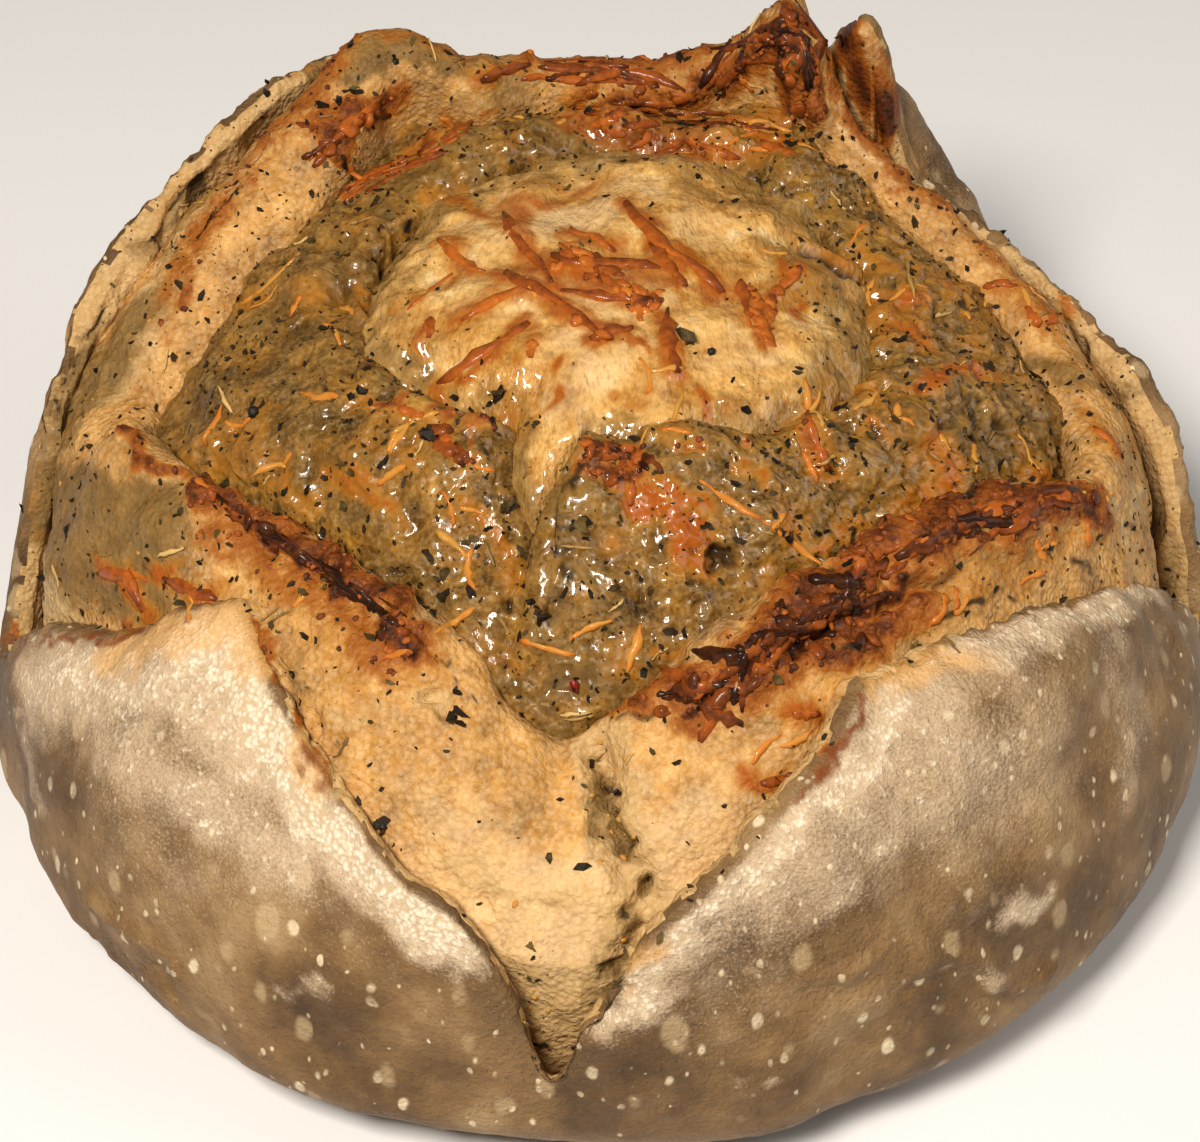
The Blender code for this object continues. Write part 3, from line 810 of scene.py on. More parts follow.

# %% [markdown]
# ## Where it browned, tore and caught the flour
# These strokes carry no relief. They only say how much of a finish each point has, and the materials
# read that from the mesh: brown where edges burned, gold where cheese melted, torn where the crumb
# shows, grey where it is wet and clear, herb where herbs stick, flour and toasted flour on the crust,
# painted shade where little light gets in, and cream where the crumb is pale.

# %% Edges and ridges that browned
BROWN_STROKES = (
    # radius in mm, strength, pixels
    (8.0, 0.7, ((580, 128), (640, 140), (700, 155))),
    (3.6, 1.0, ((130, 433), (150, 460), (177, 480), (213, 503))),
    (5.0, 0.95, ((213, 503), (253, 522), (283, 540), (320, 567), (363, 595), (400, 627), (422, 650))),
    (2.4, 1.5, ((213, 505), (253, 526), (300, 560), (345, 592), (385, 622), (415, 645))),
    (10.0, 0.52, ((225, 530), (260, 552), (300, 585), (340, 620), (385, 655))),
    (5.0, 0.9, ((640, 707), (677, 690), (713, 678), (740, 658), (770, 632), (800, 610))),
    (8.0, 0.95, ((770, 632), (800, 608), (850, 578), (900, 550), (980, 518), (1047, 500), (1100, 513))),
    (2.6, 1.4, ((690, 704), (748, 676), (784, 656), (820, 634), (850, 615), (900, 588))),
    (8.0, 0.6, ((690, 715), (748, 692), (800, 665), (850, 640), (880, 625))),
    (9.0, 1.1, ((755, 668), (800, 642), (850, 610))),
    (3.2, 1.9, ((780, 662), (808, 640), (836, 617))),
    (6.0, 0.45, ((900, 585), (980, 550), (1050, 530))),
    (6.0, 0.95, ((836, 665), (860, 640), (890, 625), (925, 612))),
    (6.0, 0.6, ((585, 118), (640, 125), (700, 135))),
    (3.0, 1.0, ((467, 417), (480, 440))),
    (2.6, 0.7, ((380, 405), (410, 412), (450, 425))),
    (3.0, 1.5, ((577, 450), (600, 443), (640, 453))),
    (4.0, 1.0, ((585, 470), (620, 480), (640, 470))),
    (1.4, 0.8, ((640, 453), (680, 456), (723, 453), (760, 440), (800, 423))),
    (2.6, 0.8, ((340, 203), (380, 176), (427, 153), (480, 113))),
    (4.5, 0.9, ((425, 150), (448, 138), (472, 122))),
    (3.0, 0.8, ((480, 80), (505, 72), (530, 63))),
    (3.0, 0.8, ((573, 80), (600, 68), (640, 70), (683, 90))),
    (4.5, 1.0, ((575, 108), (617, 112), (650, 100))),
    (1.8, 0.6, ((617, 103), (660, 112), (707, 117), (767, 123))),
    (2.0, 0.6, ((683, 140), (710, 148), (740, 160))),
    (6.5, 0.95, ((700, 92), (745, 58), (785, 32), (796, 70), (798, 112))),
    (4.0, 1.6, ((780, 22), (795, 15), (800, 50))),
    (7.0, 1.15, ((848, 20), (858, 60), (880, 100), (885, 130))),
    (6.0, 0.95, ((325, 140), (350, 112), (392, 100))),
    (3.0, 0.8, ((245, 608), (275, 670), (305, 745), (330, 800))),
    (2.6, 0.9, ((868, 685), (845, 730), (800, 800))),
    (2.6, 0.9, ((17, 640), (60, 652), (133, 640), (190, 622))),
    (2.0, 0.8, ((190, 275), (185, 305))),
    (3.0, 0.8, ((1060, 512), (1090, 520))),
    (2.4, 0.6, ((807, 413), (827, 470))),
    (2.4, 0.7, ((1093, 427), (1117, 453))),
)
print(len(BROWN_STROKES), "strokes of brown")

# %% Cheese that melted to gold
GOLD_STROKES = (
    # radius in mm, strength, pixels
    (8.0, 1.0, ((255, 565), (300, 600), (350, 640), (420, 662))),
    (7.0, 0.8, ((300, 620), (350, 690), (400, 760))),
    (9.0, 0.9, ((880, 640), (960, 600), (1040, 560), (1110, 530))),
    (6.0, 0.8, ((800, 720), (850, 690), (880, 660))),
    (3.4, 0.9, ((573, 340), (563, 370), (553, 400))),
    (3.4, 0.9, ((660, 347), (678, 375), (693, 400))),
    (4.0, 0.8, ((540, 182), (580, 176), (617, 180))),
    (4.0, 0.8, ((460, 225), (487, 210))),
    (5.0, 0.9, ((780, 247), (795, 280), (807, 307))),
    (9.0, 1.35, ((530, 262), (600, 285), (665, 275))),
    (6.0, 1.8, ((548, 262), (600, 283), (652, 300))),
    (3.0, 1.6, ((592, 330), (572, 362), (560, 392))),
    (2.6, 1.5, ((628, 332), (646, 352), (655, 376))),
    (3.0, 1.7, ((664, 306), (672, 350), (690, 396))),
    (4.0, 1.6, ((745, 272), (752, 310), (768, 362))),
    (3.6, 1.6, ((780, 262), (797, 285), (800, 322))),
    (6.0, 1.4, ((440, 195), (475, 205), (515, 215))),
    (6.0, 1.3, ((500, 205), (545, 196), (575, 184))),
    (4.0, 1.6, ((572, 334), (590, 350), (612, 340))),
    (4.0, 1.1, ((600, 395), (625, 410), (650, 400))),
    (7.0, 1.0, ((680, 255), (715, 285), (735, 320))),
    (3.4, 1.6, ((676, 372), (690, 396), (700, 412))),
    (7.0, 1.6, ((648, 500), (680, 528), (702, 560))),
    (3.0, 1.2, ((503, 213), (553, 282))),
    (4.0, 1.2, ((507, 273), (553, 297), (603, 336))),
    (3.0, 1.1, ((437, 383), (473, 360), (528, 322))),
    (3.4, 1.1, ((627, 203), (655, 240), (722, 293))),
    (3.4, 1.1, ((667, 308), (677, 373))),
    (4.0, 0.9, ((740, 280), (752, 318), (773, 347))),
    (6.0, 0.9, ((613, 480), (655, 495), (697, 510))),
    (4.5, 0.9, ((680, 520), (690, 560), (675, 600))),
    (5.5, 0.9, ((375, 410), (420, 430), (465, 455))),
    (3.0, 0.8, ((455, 480), (470, 490))),
    (6.5, 1.0, ((905, 395), (945, 378), (980, 365))),
    (4.0, 0.8, ((985, 285), (1015, 285))),
    (4.0, 0.8, ((1030, 308), (1070, 318))),
    (5.0, 0.7, ((150, 230), (185, 190), (260, 130))),
    (5.0, 0.7, ((35, 460), (30, 520), (45, 560))),
    (4.0, 0.7, ((97, 575), (143, 600))),
    (4.0, 0.7, ((770, 780), (805, 760))),
    (6.0, 0.6, ((450, 470), (480, 520), (500, 560))),
    (5.0, 0.7, ((830, 60), (850, 130), (880, 180))),
    (3.4, 1.0, ((885, 40), (900, 75), (905, 110))),
    (7.0, 1.0, ((800, 230), (850, 260), (905, 270), (960, 290))),
    (5.5, 1.5, ((905, 392), (940, 376), (985, 372))),
    (4.0, 1.4, ((738, 455), (760, 468))),
    (5.0, 1.5, ((612, 478), (660, 486), (705, 505))),
    (3.6, 1.4, ((684, 530), (692, 575), (700, 600))),
    (4.0, 1.3, ((1080, 415), (1112, 440))),
    (4.0, 1.2, ((870, 430), (905, 450), (940, 440))),
    (4.0, 1.2, ((470, 500), (500, 530), (512, 560))),
    (4.0, 1.2, ((330, 470), (370, 490), (400, 520))),
    (4.0, 1.1, ((640, 640), (668, 655), (690, 650))),
    (4.0, 1.2, ((780, 540), (830, 530), (870, 520))),
)
print(len(GOLD_STROKES), "strokes of gold")

# %% Torn crumb
TORN_STROKES = (
    # radius in mm, strength, pixels
    (9.0, 1.3, ((600, 745), (612, 800), (625, 850), (636, 900), (610, 960), (600, 1010))),
    (9.0, 1.0, ((75, 420), (110, 380), (150, 335))),
    (6.0, 0.9, ((300, 103), (233, 193), (183, 237), (140, 300), (133, 337))),
    (4.5, 1.0, ((1060, 492), (1110, 500), (1130, 540))),
    (4.0, 1.0, ((1130, 430), (1140, 480), (1135, 520))),
    (6.0, 0.9, ((600, 745), (612, 830), (636, 900), (605, 1000))),
    (4.0, 0.9, ((345, 722), (405, 702), (440, 700))),
    (5.0, 0.7, ((440, 860), (520, 900), (600, 905))),
    (5.0, 0.8, ((60, 480), (110, 520), (160, 560))),
)
print(len(TORN_STROKES), "strokes of torn")

# %% Dough that stayed wet and grey
GREY_STROKES = (
    # radius in mm, strength, pixels
    (17.0, 1.4, ((40, 500), (90, 520), (150, 545))),
    (7.0, 1.4, ((325, 62), (400, 45), (460, 62))),
    (3.4, 1.2, ((598, 760), (612, 800), (622, 850), (640, 890), (615, 940), (606, 990))),
    (12.0, 1.0, ((70, 430), (100, 380), (150, 310))),
    (9.0, 0.9, ((590, 150), (660, 150), (740, 165))),
    (7.0, 0.9, ((450, 150), (400, 200), (350, 240))),
    (7.0, 0.9, ((560, 668), (600, 660), (640, 664))),
    (7.0, 0.9, ((1035, 360), (1080, 385), (1125, 400))),
    (4.0, 0.9, ((990, 425), (1010, 425))),
    (8.0, 0.7, ((330, 260), (345, 300), (350, 340))),
    (9.0, 1.2, ((590, 120), (640, 135), (690, 150))),
    (14.0, 1.0, ((60, 560), (100, 590), (150, 600))),
    (8.0, 0.8, ((150, 250), (190, 215), (240, 170))),
    (6.0, 0.8, ((540, 130), (590, 145), (640, 150))),
    (6.0, 0.6, ((860, 270), (880, 310), (885, 350))),
    (5.0, 0.8, ((590, 780), (600, 830))),
    (5.0, 0.7, ((600, 930), (590, 1000))),
    (7.0, 0.6, ((60, 500), (120, 540))),
)
print(len(GREY_STROKES), "strokes of grey")

# %% Herbs outside their own layer
HERB_STROKES = (
    # radius in mm, strength, pixels
    (7.0, 1.1, ((325, 62), (400, 45), (460, 62))),
    (7.0, 1.0, ((530, 950), (535, 1010), (550, 1070))),
    (4.0, 1.0, ((500, 715), (600, 725), (700, 718))),
    (5.0, 0.7, ((270, 650), (300, 720), (350, 800))),
    (5.0, 0.6, ((820, 720), (780, 800))),
    (3.0, 0.5, ((800, 790), (720, 870), (650, 950))),
)
print(len(HERB_STROKES), "strokes of herb")

# %% Caked flour
FLOUR_STROKES = (
    # radius in mm, strength, pixels
    (13.0, 1.3, ((190, 650), (230, 655), (262, 720), (305, 805), (375, 880), (455, 940))),
    (18.0, 0.95, ((40, 680), (120, 680), (200, 690), (250, 760))),
    (16.0, 0.8, ((120, 740), (200, 800), (290, 860))),
    (9.0, 1.05, ((905, 700), (855, 770), (780, 845), (710, 910), (660, 965), (618, 1015))),
    (17.0, 0.75, ((940, 720), (850, 800), (760, 890))),
    (11.0, 0.95, ((900, 670), (1000, 640), (1090, 605), (1150, 570))),
    (7.0, 0.8, ((920, 760), (880, 840), (820, 900))),
    (5.0, 1.0, ((1005, 915), (1040, 905))),
    (4.0, 0.9, ((290, 990), (320, 985))),
    (6.0, 1.0, ((610, 1010), (640, 990))),
    (4.0, 0.8, ((975, 978), (1000, 975))),
    (8.0, 0.6, ((20, 720), (40, 800))),
    (12.0, 0.6, ((1120, 650), (1140, 720), (1130, 790))),
    (4.0, 0.8, ((740, 1085), (770, 1080))),
)
print(len(FLOUR_STROKES), "strokes of flour")

# %% Flour that toasted
TOAST_STROKES = (
    # radius in mm, strength, pixels
    (9.0, 1.0, ((120, 655), (180, 640), (235, 620), (260, 660))),
    (7.0, 0.9, ((880, 680), (930, 668), (980, 655))),
    (7.0, 0.8, ((300, 740), (320, 790))),
    (5.0, 0.7, ((620, 995), (660, 940))),
)
print(len(TOAST_STROKES), "strokes of toast")

# %% Painted shade in gaps and folds
PAINTED_SHADE_STROKES = (
    # radius in mm, strength, pixels
    (9.0, 0.36, ((595, 140), (640, 138), (688, 142))),
    (1.3, 0.9, ((583, 458), (574, 500), (562, 560), (548, 620), (540, 660))),
    (1.6, 1.0, ((840, 648), (900, 628), (960, 612), (1040, 588), (1120, 560))),
    (1.8, 1.0, ((277, 120), (233, 157), (187, 203), (147, 253), (100, 327), (77, 370), (43, 443))),
    (1.2, 0.8, ((500, 718), (560, 728), (640, 724), (690, 706))),
    (1.2, 0.8, ((422, 655), (460, 690), (500, 716))),
    (1.6, 0.9, ((560, 462), (530, 500), (490, 500))),
    (3.0, 1.2, ((815, 244), (832, 256), (852, 270))),
)
print(len(PAINTED_SHADE_STROKES), "strokes of deep")

# %% Pale edges and crumb
CREAM_STROKES = (
    # radius in mm, strength, pixels
    (3.2, 1.3, ((812, 50), (836, 95), (860, 138), (888, 178))),
    (2.6, 1.0, ((887, 167), (917, 183), (993, 240), (1067, 300), (1090, 323))),
    (3.0, 0.9, ((1117, 357), (1130, 387), (1157, 430), (1177, 493))),
    (3.0, 0.8, ((905, 95), (903, 140))),
    (2.4, 0.9, ((500, 880), (525, 878))),
    (7.0, 0.6, ((470, 800), (540, 860), (580, 880))),
)
print(len(CREAM_STROKES), "strokes of cream")

# %% Strokes of finish
FINISH_STROKES = {
    "brown": BROWN_STROKES,
    "gold": GOLD_STROKES,
    "torn": TORN_STROKES,
    "grey": GREY_STROKES,
    "herb": HERB_STROKES,
    "flour": FLOUR_STROKES,
    "toast": TOAST_STROKES,
    "deep": PAINTED_SHADE_STROKES,
    "cream": CREAM_STROKES,
}

for name, strokes in FINISH_STROKES.items():
    for radius, strength, pixels in strokes:
        path = trace(trees, pixels)
        for layer in LAYERS.values():
            raise_mark(layer, name, strength * brush(layer, path, radius * MM))
print(sum(len(strokes) for strokes in FINISH_STROKES.values()), "strokes of finish")

# %% [markdown]
# ## The rest of each layer
# The back and the hidden folds have no pixels to follow, but the same rules hold there: what stands
# highest browned most, the crumb shows under a rim, and flour stays on the upper half of the crust.
# Each layer also gets its own noise: broad on the crust, lumpy in the cheese, porous in the crumb.

# %% Tools to shape a layer
def crags(points, size, seed):
    """Noise with sharp ridges and round hollows between them, as in torn crumb."""
    return 1 - 2.4 * np.abs(rough_noise(points, size, seed, 4))


def finish_shape(layer, heights, small):
    """Lifts the points along their normals, keeps the base flat, and marks what lies hollow, for painted
    shade and light.
    """
    free = smooth_step(layer["points"][:, 2], 2 * MM, 12 * MM)
    layer["points"] = layer["points"] + layer["normals"] * (heights * free)[:, None]
    mark(layer, "hollow")[:] = np.clip(0.5 - 0.5 * small, 0, 1)
    put_in_place(layer)
    print(layer["piece"].name, len(layer["points"]), "points")


# %% Shape and marks of the crust
crust = LAYERS["crust"]
points, azimuth, from_rim = crust["points"], crust["azimuth"], crust["from_rim"]
outside = smooth_step(from_rim, -1 * MM, 2 * MM)
upper = smooth_step(points[:, 2], 10 * MM, 80 * MM)
at_back = near(azimuth, 90, 110)
edge = np.exp(-((from_rim / (4 * MM)) ** 2))
blotches = rough_noise(points, 22 * MM, 71)
small = rough_noise(points, 3.5 * MM, 3, 4)
heights = crust["rise"] + 1.4 * MM * grid_noise(points, 34 * MM, 1)
heights += 0.9 * MM * grid_noise(points, 12 * MM, 2)
heights += 0.3 * MM * small + 0.8 * MM * edge * crags(points, 4 * MM, 4)
haze = upper * outside * (0.5 + 0.6 * blotches) * (1 - 0.75 * near(azimuth, 90, 80))
raise_mark(crust, "flour", haze)
mark(crust, "flour")[:] *= outside
near_edge = np.exp(-((from_rim / (10 * MM)) ** 2)) * outside
bare = np.maximum(near(azimuth, 120, 85), near(azimuth, 56, 18))
mark(crust, "flour")[:] *= 1 - 0.9 * bare * near_edge
raise_mark(crust, "toast", 1.3 * bare * near_edge)
raise_mark(crust, "brown", 0.6 * edge * at_back * (0.6 + blotches))
mark(crust, "torn")[:] = np.maximum(0.3 * mark(crust, "torn"), 1 - outside)
mark(crust, "herb")[:] = 0.9 * (1 - outside) + 0.5 * edge * at_back
finish_shape(crust, heights, small)

# %% Shape and marks of the golden layer
golden = LAYERS["golden"]
points, azimuth, from_rim = golden["points"], golden["azimuth"], golden["from_rim"]
top_side = smooth_step(from_rim, 2 * MM, 8 * MM)
ridge = np.exp(-((from_rim / (5 * MM)) ** 2))
at_back = near(azimuth, 90, 120)
at_front = near(azimuth, 268, 46)
blotches = rough_noise(points, 15 * MM, 72)
raise_mark(golden, "brown", ridge * at_back * (0.6 + 0.7 * blotches))
raise_mark(golden, "gold", top_side * (1 - at_front) * (0.3 + 0.7 * blotches))
raise_mark(golden, "grey", (1 - at_front) * (0.3 - 0.8 * blotches))
raise_mark(golden, "torn", 0.75 * smooth_step(from_rim, 26 * MM, 38 * MM))
raise_mark(golden, "cream", 0.9 * at_front * smooth_step(from_rim, 8 * MM, 20 * MM))
raise_mark(golden, "herb", (1 - at_front) * (0.5 + 0.6 * blotches) + 0.04)
torn, burnt = mark(golden, "torn"), np.clip(mark(golden, "brown"), 0, 1)
small = 0.35 * crags(points, 4.5 * MM, 17) + 0.5 * rough_noise(points, 2.4 * MM, 18, 2)
heights = golden["rise"] + 1.3 * MM * grid_noise(points, 30 * MM, 13)
heights += 1.1 * MM * grid_noise(points, 9 * MM, 14)
crumb = at_front * smooth_step(from_rim, 4 * MM, 12 * MM)
heights += burnt * (1.1 * MM * crags(points, 4 * MM, 15) + 0.7 * MM)
heights += small * MM * (0.35 + 0.6 * torn + 0.9 * burnt + 0.2 * top_side + 0.15 * crumb)
finish_shape(golden, heights, small)

# %% [markdown]
# ### Holes in the melted cheese
# Where cheese ran, most of all on the right, it left round holes from 2 to 5 mm across. They are
# drawn at random from the herb layer's upper points, and each is pressed in as a burst bubble.

# %% Holes in the melted cheese
HOLES = 110
hole_dice = random.Random(5)
herb = LAYERS["herb"]
reachable = np.flatnonzero((herb["from_rim"] > 4 * MM) & (herb["points"][:, 2] > 50 * MM))
more_right = near(herb["azimuth"][reachable], 20, 120) + 0.25
sums = np.cumsum(more_right)
for _ in range(HOLES):
    spot = herb["warped"][reachable[int(np.searchsorted(sums, hole_dice.random() * sums[-1]))]]
    shape = bubble(herb, spot[None], hole_dice.uniform(0.9, 2.6) * MM)
    herb["rise"] += hole_dice.uniform(0.6, 1.6) * MM * shape
    # painted shade in the hole's hollow
    raise_mark(herb, "deep", -hole_dice.uniform(0.3, 0.9) * shape)
print(HOLES, "holes in the cheese")

# %% Shape and marks of the herb layer
points, azimuth, from_rim = herb["points"], herb["azimuth"], herb["from_rim"]
blotches = rough_noise(points, 9 * MM, 73)
cheesy = near(azimuth, 10, 100)
raise_mark(herb, "gold", 0.2 + 0.3 * cheesy + 1.2 * blotches)
raise_mark(herb, "grey", 0.1 - 1.0 * blotches)
raise_mark(herb, "herb", np.clip(0.75 + 0.6 * rough_noise(points, 9 * MM, 74), 0.2, 1))
burnt = np.clip(mark(herb, "brown"), 0, 1)
swirl = points + 2.5 * MM * rough_vectors(points, 7 * MM)
small = 0.65 * crags(swirl, 5 * MM, 26) + 0.5 * rough_noise(swirl, 2.8 * MM, 25, 2)
heights = herb["rise"] + 1.6 * MM * grid_noise(points, 20 * MM, 23)
heights += 1.5 * MM * grid_noise(points, 8 * MM, 24)
heights += small * MM * (0.9 + 0.8 * cheesy - 0.2 * burnt) + burnt * 0.6 * MM * crags(points, 6 * MM, 27)
finish_shape(herb, heights, small)

# %% Shape and marks of the core
core = LAYERS["core"]
points = core["points"]
rings_down = np.repeat(np.arange(len(core["grid"])), core["grid"].shape[1])
blotches = rough_noise(points, 12 * MM, 75)
low = smooth_step(rings_down / DOME_RINGS + 0.3 * blotches, 0.3, 0.62)
raise_mark(core, "gold", 0.35 + 0.9 * blotches)
raise_mark(core, "herb", np.clip(0.12 + 0.9 * low + 0.2 * blotches, 0, 1))
raise_mark(core, "grey", 0.75 * low)
raise_mark(core, "cream", (0.5 - blotches) * (1 - low))
small = 0.5 * crags(points, 6 * MM, 36) + 0.5 * rough_noise(points, 3 * MM, 35, 2)
heights = core["rise"] + 1.5 * MM * grid_noise(points, 19 * MM, 33)
heights += 1.3 * MM * grid_noise(points, 8 * MM, 34)
heights += low * 1.5 * MM * rough_noise(points, 12 * MM, 37)
heights += small * MM * (0.5 + 0.6 * low)
finish_shape(core, heights, small)

# %% [markdown]
# ## Things that lie on the dough
# Shreds, flakes of herb, stems and crumbs are small, and there are many of each. We model one of each
# as by hand, read its points, and lay copies of them on the dough as one joined mesh. A shred is soft,
# so its copies bend along a path on the surface and sink into it. A flake is stiff and only turns.

# %% Tools to lay copies on the dough
trees = build_trees()
dice = random.Random(11)
SKY = Vector((0, 0, 1))


def model_of(obj):
    """The points and faces of a small model, which is then removed."""
    points = np.array([vertex.co for vertex in obj.data.vertices])
    faces = [tuple(face.vertices) for face in obj.data.polygons]
    bpy.data.objects.remove(obj)
    return points, faces


def resized_model(scale):
    """Resizes the new primitive in edit mode, and gives its points and faces."""
    bpy.ops.object.mode_set(mode="EDIT")
    bpy.ops.mesh.select_all(action="SELECT")
    bpy.ops.transform.resize(value=scale)
    bpy.ops.object.mode_set(mode="OBJECT")
    return model_of(bpy.context.object)


def join_copies(name, faces, copies, burns, smooth=True):
    """One mesh from many copies, each with its own shade from 0, pale, to 1, dark."""
    size = len(copies[0])
    points = np.concatenate(copies)
    all_faces = [[i + k * size for i in face] for k in range(len(copies)) for face in faces]
    mesh = bpy.data.meshes.new(name)
    mesh.from_pydata(points.tolist(), [], all_faces)
    shade = mesh.attributes.new("burn", "FLOAT", "POINT")
    shade.data.foreach_set("value", np.concatenate(burns).astype(np.float32))
    if smooth:
        mesh.shade_smooth()
    piece = bpy.data.objects.new(name, mesh)
    bpy.context.scene.collection.objects.link(piece)
    print(name, len(copies), "copies,", len(all_faces), "faces")
    return piece


def open_to_sky(point, normal):
    """Whether nothing lies over a point within 45 mm, so that herbs could fall there."""
    start = point + normal * 1.2 * MM
    leaning = (SKY + normal * 0.5).normalized()
    return all(tree.ray_cast(start, leaning, 45 * MM)[0] is None for tree in trees.values())


def spots_on(layer, weight, number):
    """Random open points of a layer, more of them where the weight is high."""
    grid = layer["points"].reshape(layer["grid"].shape)
    normals = grid_normals(grid)
    steps = np.linalg.norm(np.gradient(grid, axis=0), axis=2)
    widths = np.linalg.norm(np.roll(grid, -1, axis=1) - grid, axis=2)
    chance = np.clip(weight, 0, None) * (steps * widths).reshape(-1)
    sums = np.cumsum(chance)
    spots = []
    for _ in range(number * 4):
        i = int(np.searchsorted(sums, dice.random() * sums[-1]))
        point = Vector(layer["points"][i])
        normal = Vector(normals.reshape(-1, 3)[i])
        if open_to_sky(point, normal):
            spots.append((point, normal))
        if len(spots) == number:
            break
    return spots


def lay_flat(model, spots, sizes, crumple, sink):
    """Copies of a stiff model, each turned its own way, tipped and crumpled a little."""
    copies = []
    for (point, normal), size in zip(spots, sizes):
        tip = Vector([dice.uniform(-0.5, 0.5) for _ in range(3)])
        out = (normal + tip).normalized()
        along = out.cross(Vector([dice.uniform(-1, 1) for _ in range(3)])).normalized()
        axes = np.array([along, out.cross(along), out])
        rough = np.array([[1 + dice.uniform(-crumple, crumple) for _ in range(3)] for _ in model])
        middle = np.array(point + normal * size * sink)
        copies.append(middle + (model * rough * size) @ axes)
    return copies


# %% [markdown]
# ## Shreds of cheese
# The cheese was grated, so each shred is a thin strip with a half-round back, and the heat melted it
# into the dough and browned what stood up. The model is a six-sided rod, cut into seven lengths.
# The big shreds of the photo follow its pixels. The others start at random where cheese lies.

# %% The shreds' paths
SHRED_RINGS = 8

bpy.ops.object.select_all(action="DESELECT")
bpy.ops.mesh.primitive_cylinder_add(vertices=6, radius=1, depth=1)
rod = bpy.context.object
cut_into_rings(rod, SHRED_RINGS - 2)
ROD, ROD_FACES = model_of(rod)
print("one shred has", len(ROD_FACES), "faces")


def even_points(line_points, number):
    """Points at even distances along a line of points."""
    runs = np.concatenate([[0], np.cumsum(np.linalg.norm(np.diff(line_points, axis=0), axis=1))])
    wanted = np.linspace(0, runs[-1], number)
    return np.stack([np.interp(wanted, runs, values) for values in line_points.T], axis=1)


def path_from_pixels(pixels):
    """Points and normals on the dough under a line of pixels."""
    path = []
    for pixel in even_points(np.array(pixels, float), SHRED_RINGS):
        hit = seen_at(trees, pixel)
        if hit and (not path or (hit[0] - path[-1][0]).length < 9 * MM):
            path.append(hit[:2])
    if len(path) < 3:
        return None
    points, normals = (np.array([spot[k] for spot in path]) for k in (0, 1))
    return even_points(points, SHRED_RINGS), even_points(normals, SHRED_RINGS)


def path_by_walking(spot, length, bend):
    """A path that keeps to the dough: after each step it drops back onto the surface."""
    point, normal = spot
    ahead = normal.cross(Vector([dice.uniform(-1, 1) for _ in range(3)])).normalized()
    step = length / (SHRED_RINGS - 1)
    path = [(point, normal)]
    for _ in range(SHRED_RINGS - 1):
        side = normal.cross(ahead)
        ahead = (ahead - normal * ahead.dot(normal) + side * bend / SHRED_RINGS).normalized()
        start = point + ahead * step + normal * 3 * MM
        hit = first_hit(trees, start, -normal)
        if not hit or (hit[0] - point).length > 3.5 * step:
            return None
        point, normal = hit[0], (normal + hit[1]).normalized()
        path.append((point, normal))
    return tuple(np.array([spot[k] for spot in path]) for k in (0, 1))


def bend_rod(path, width, thickness, sink):
    """The model rod, laid along a path and pressed into the dough."""
    points, normals = path
    row = np.rint((ROD[:, 2] + 0.5) * (SHRED_RINGS - 1)).astype(int)
    normals = normals / np.linalg.norm(normals, axis=1, keepdims=True)
    along = np.gradient(points, axis=0)
    across = cross_unit(normals, along)
    share = ROD[:, 2] * 2
    taper = 1 - 0.6 * np.abs(share) ** 4
    wobble = np.array([dice.uniform(0.5, 1.35) for _ in range(SHRED_RINGS)])[row]
    sway = np.array([dice.uniform(-0.25, 0.25) for _ in range(SHRED_RINGS)])[row]
    side = ((ROD[:, 0] * taper * wobble + sway) * width / 2)[:, None]
    up = ((ROD[:, 1] * 0.5 + 0.5 - sink) * thickness * wobble)[:, None]
    return points[row] + across[row] * side + normals[row] * up


# %% Lay the shreds
SHRED_DRIFTS = (
    # layer, mark that draws them, its least value, number, lengths in mm, widths in mm, how brown
    ("golden", "brown", 0.5, 26, (3, 6), (1.0, 1.8), (0.4, 0.7)),
    ("golden", "gold", 0.5, 18, (4, 8), (1.0, 1.6), (0.15, 0.45)),
    ("herb", "brown", 0.4, 12, (3, 6), (1.0, 1.8), (0.4, 0.7)),
    ("herb", "gold", 0.45, 70, (3, 9), (0.8, 1.5), (0.0, 0.35)),
    ("core", "gold", 0.5, 12, (4, 8), (0.8, 1.4), (0.05, 0.35)),
)
LEFT_RIDGE = ((213, 503), (253, 522), (300, 553), (345, 585), (385, 615), (425, 650))
RIGHT_RIDGE = ((655, 702), (713, 682), (757, 654), (800, 622), (850, 590), (900, 558))
RIGHT_RIDGE_END = ((830, 592), (900, 553), (980, 520), (1047, 500), (1085, 508))
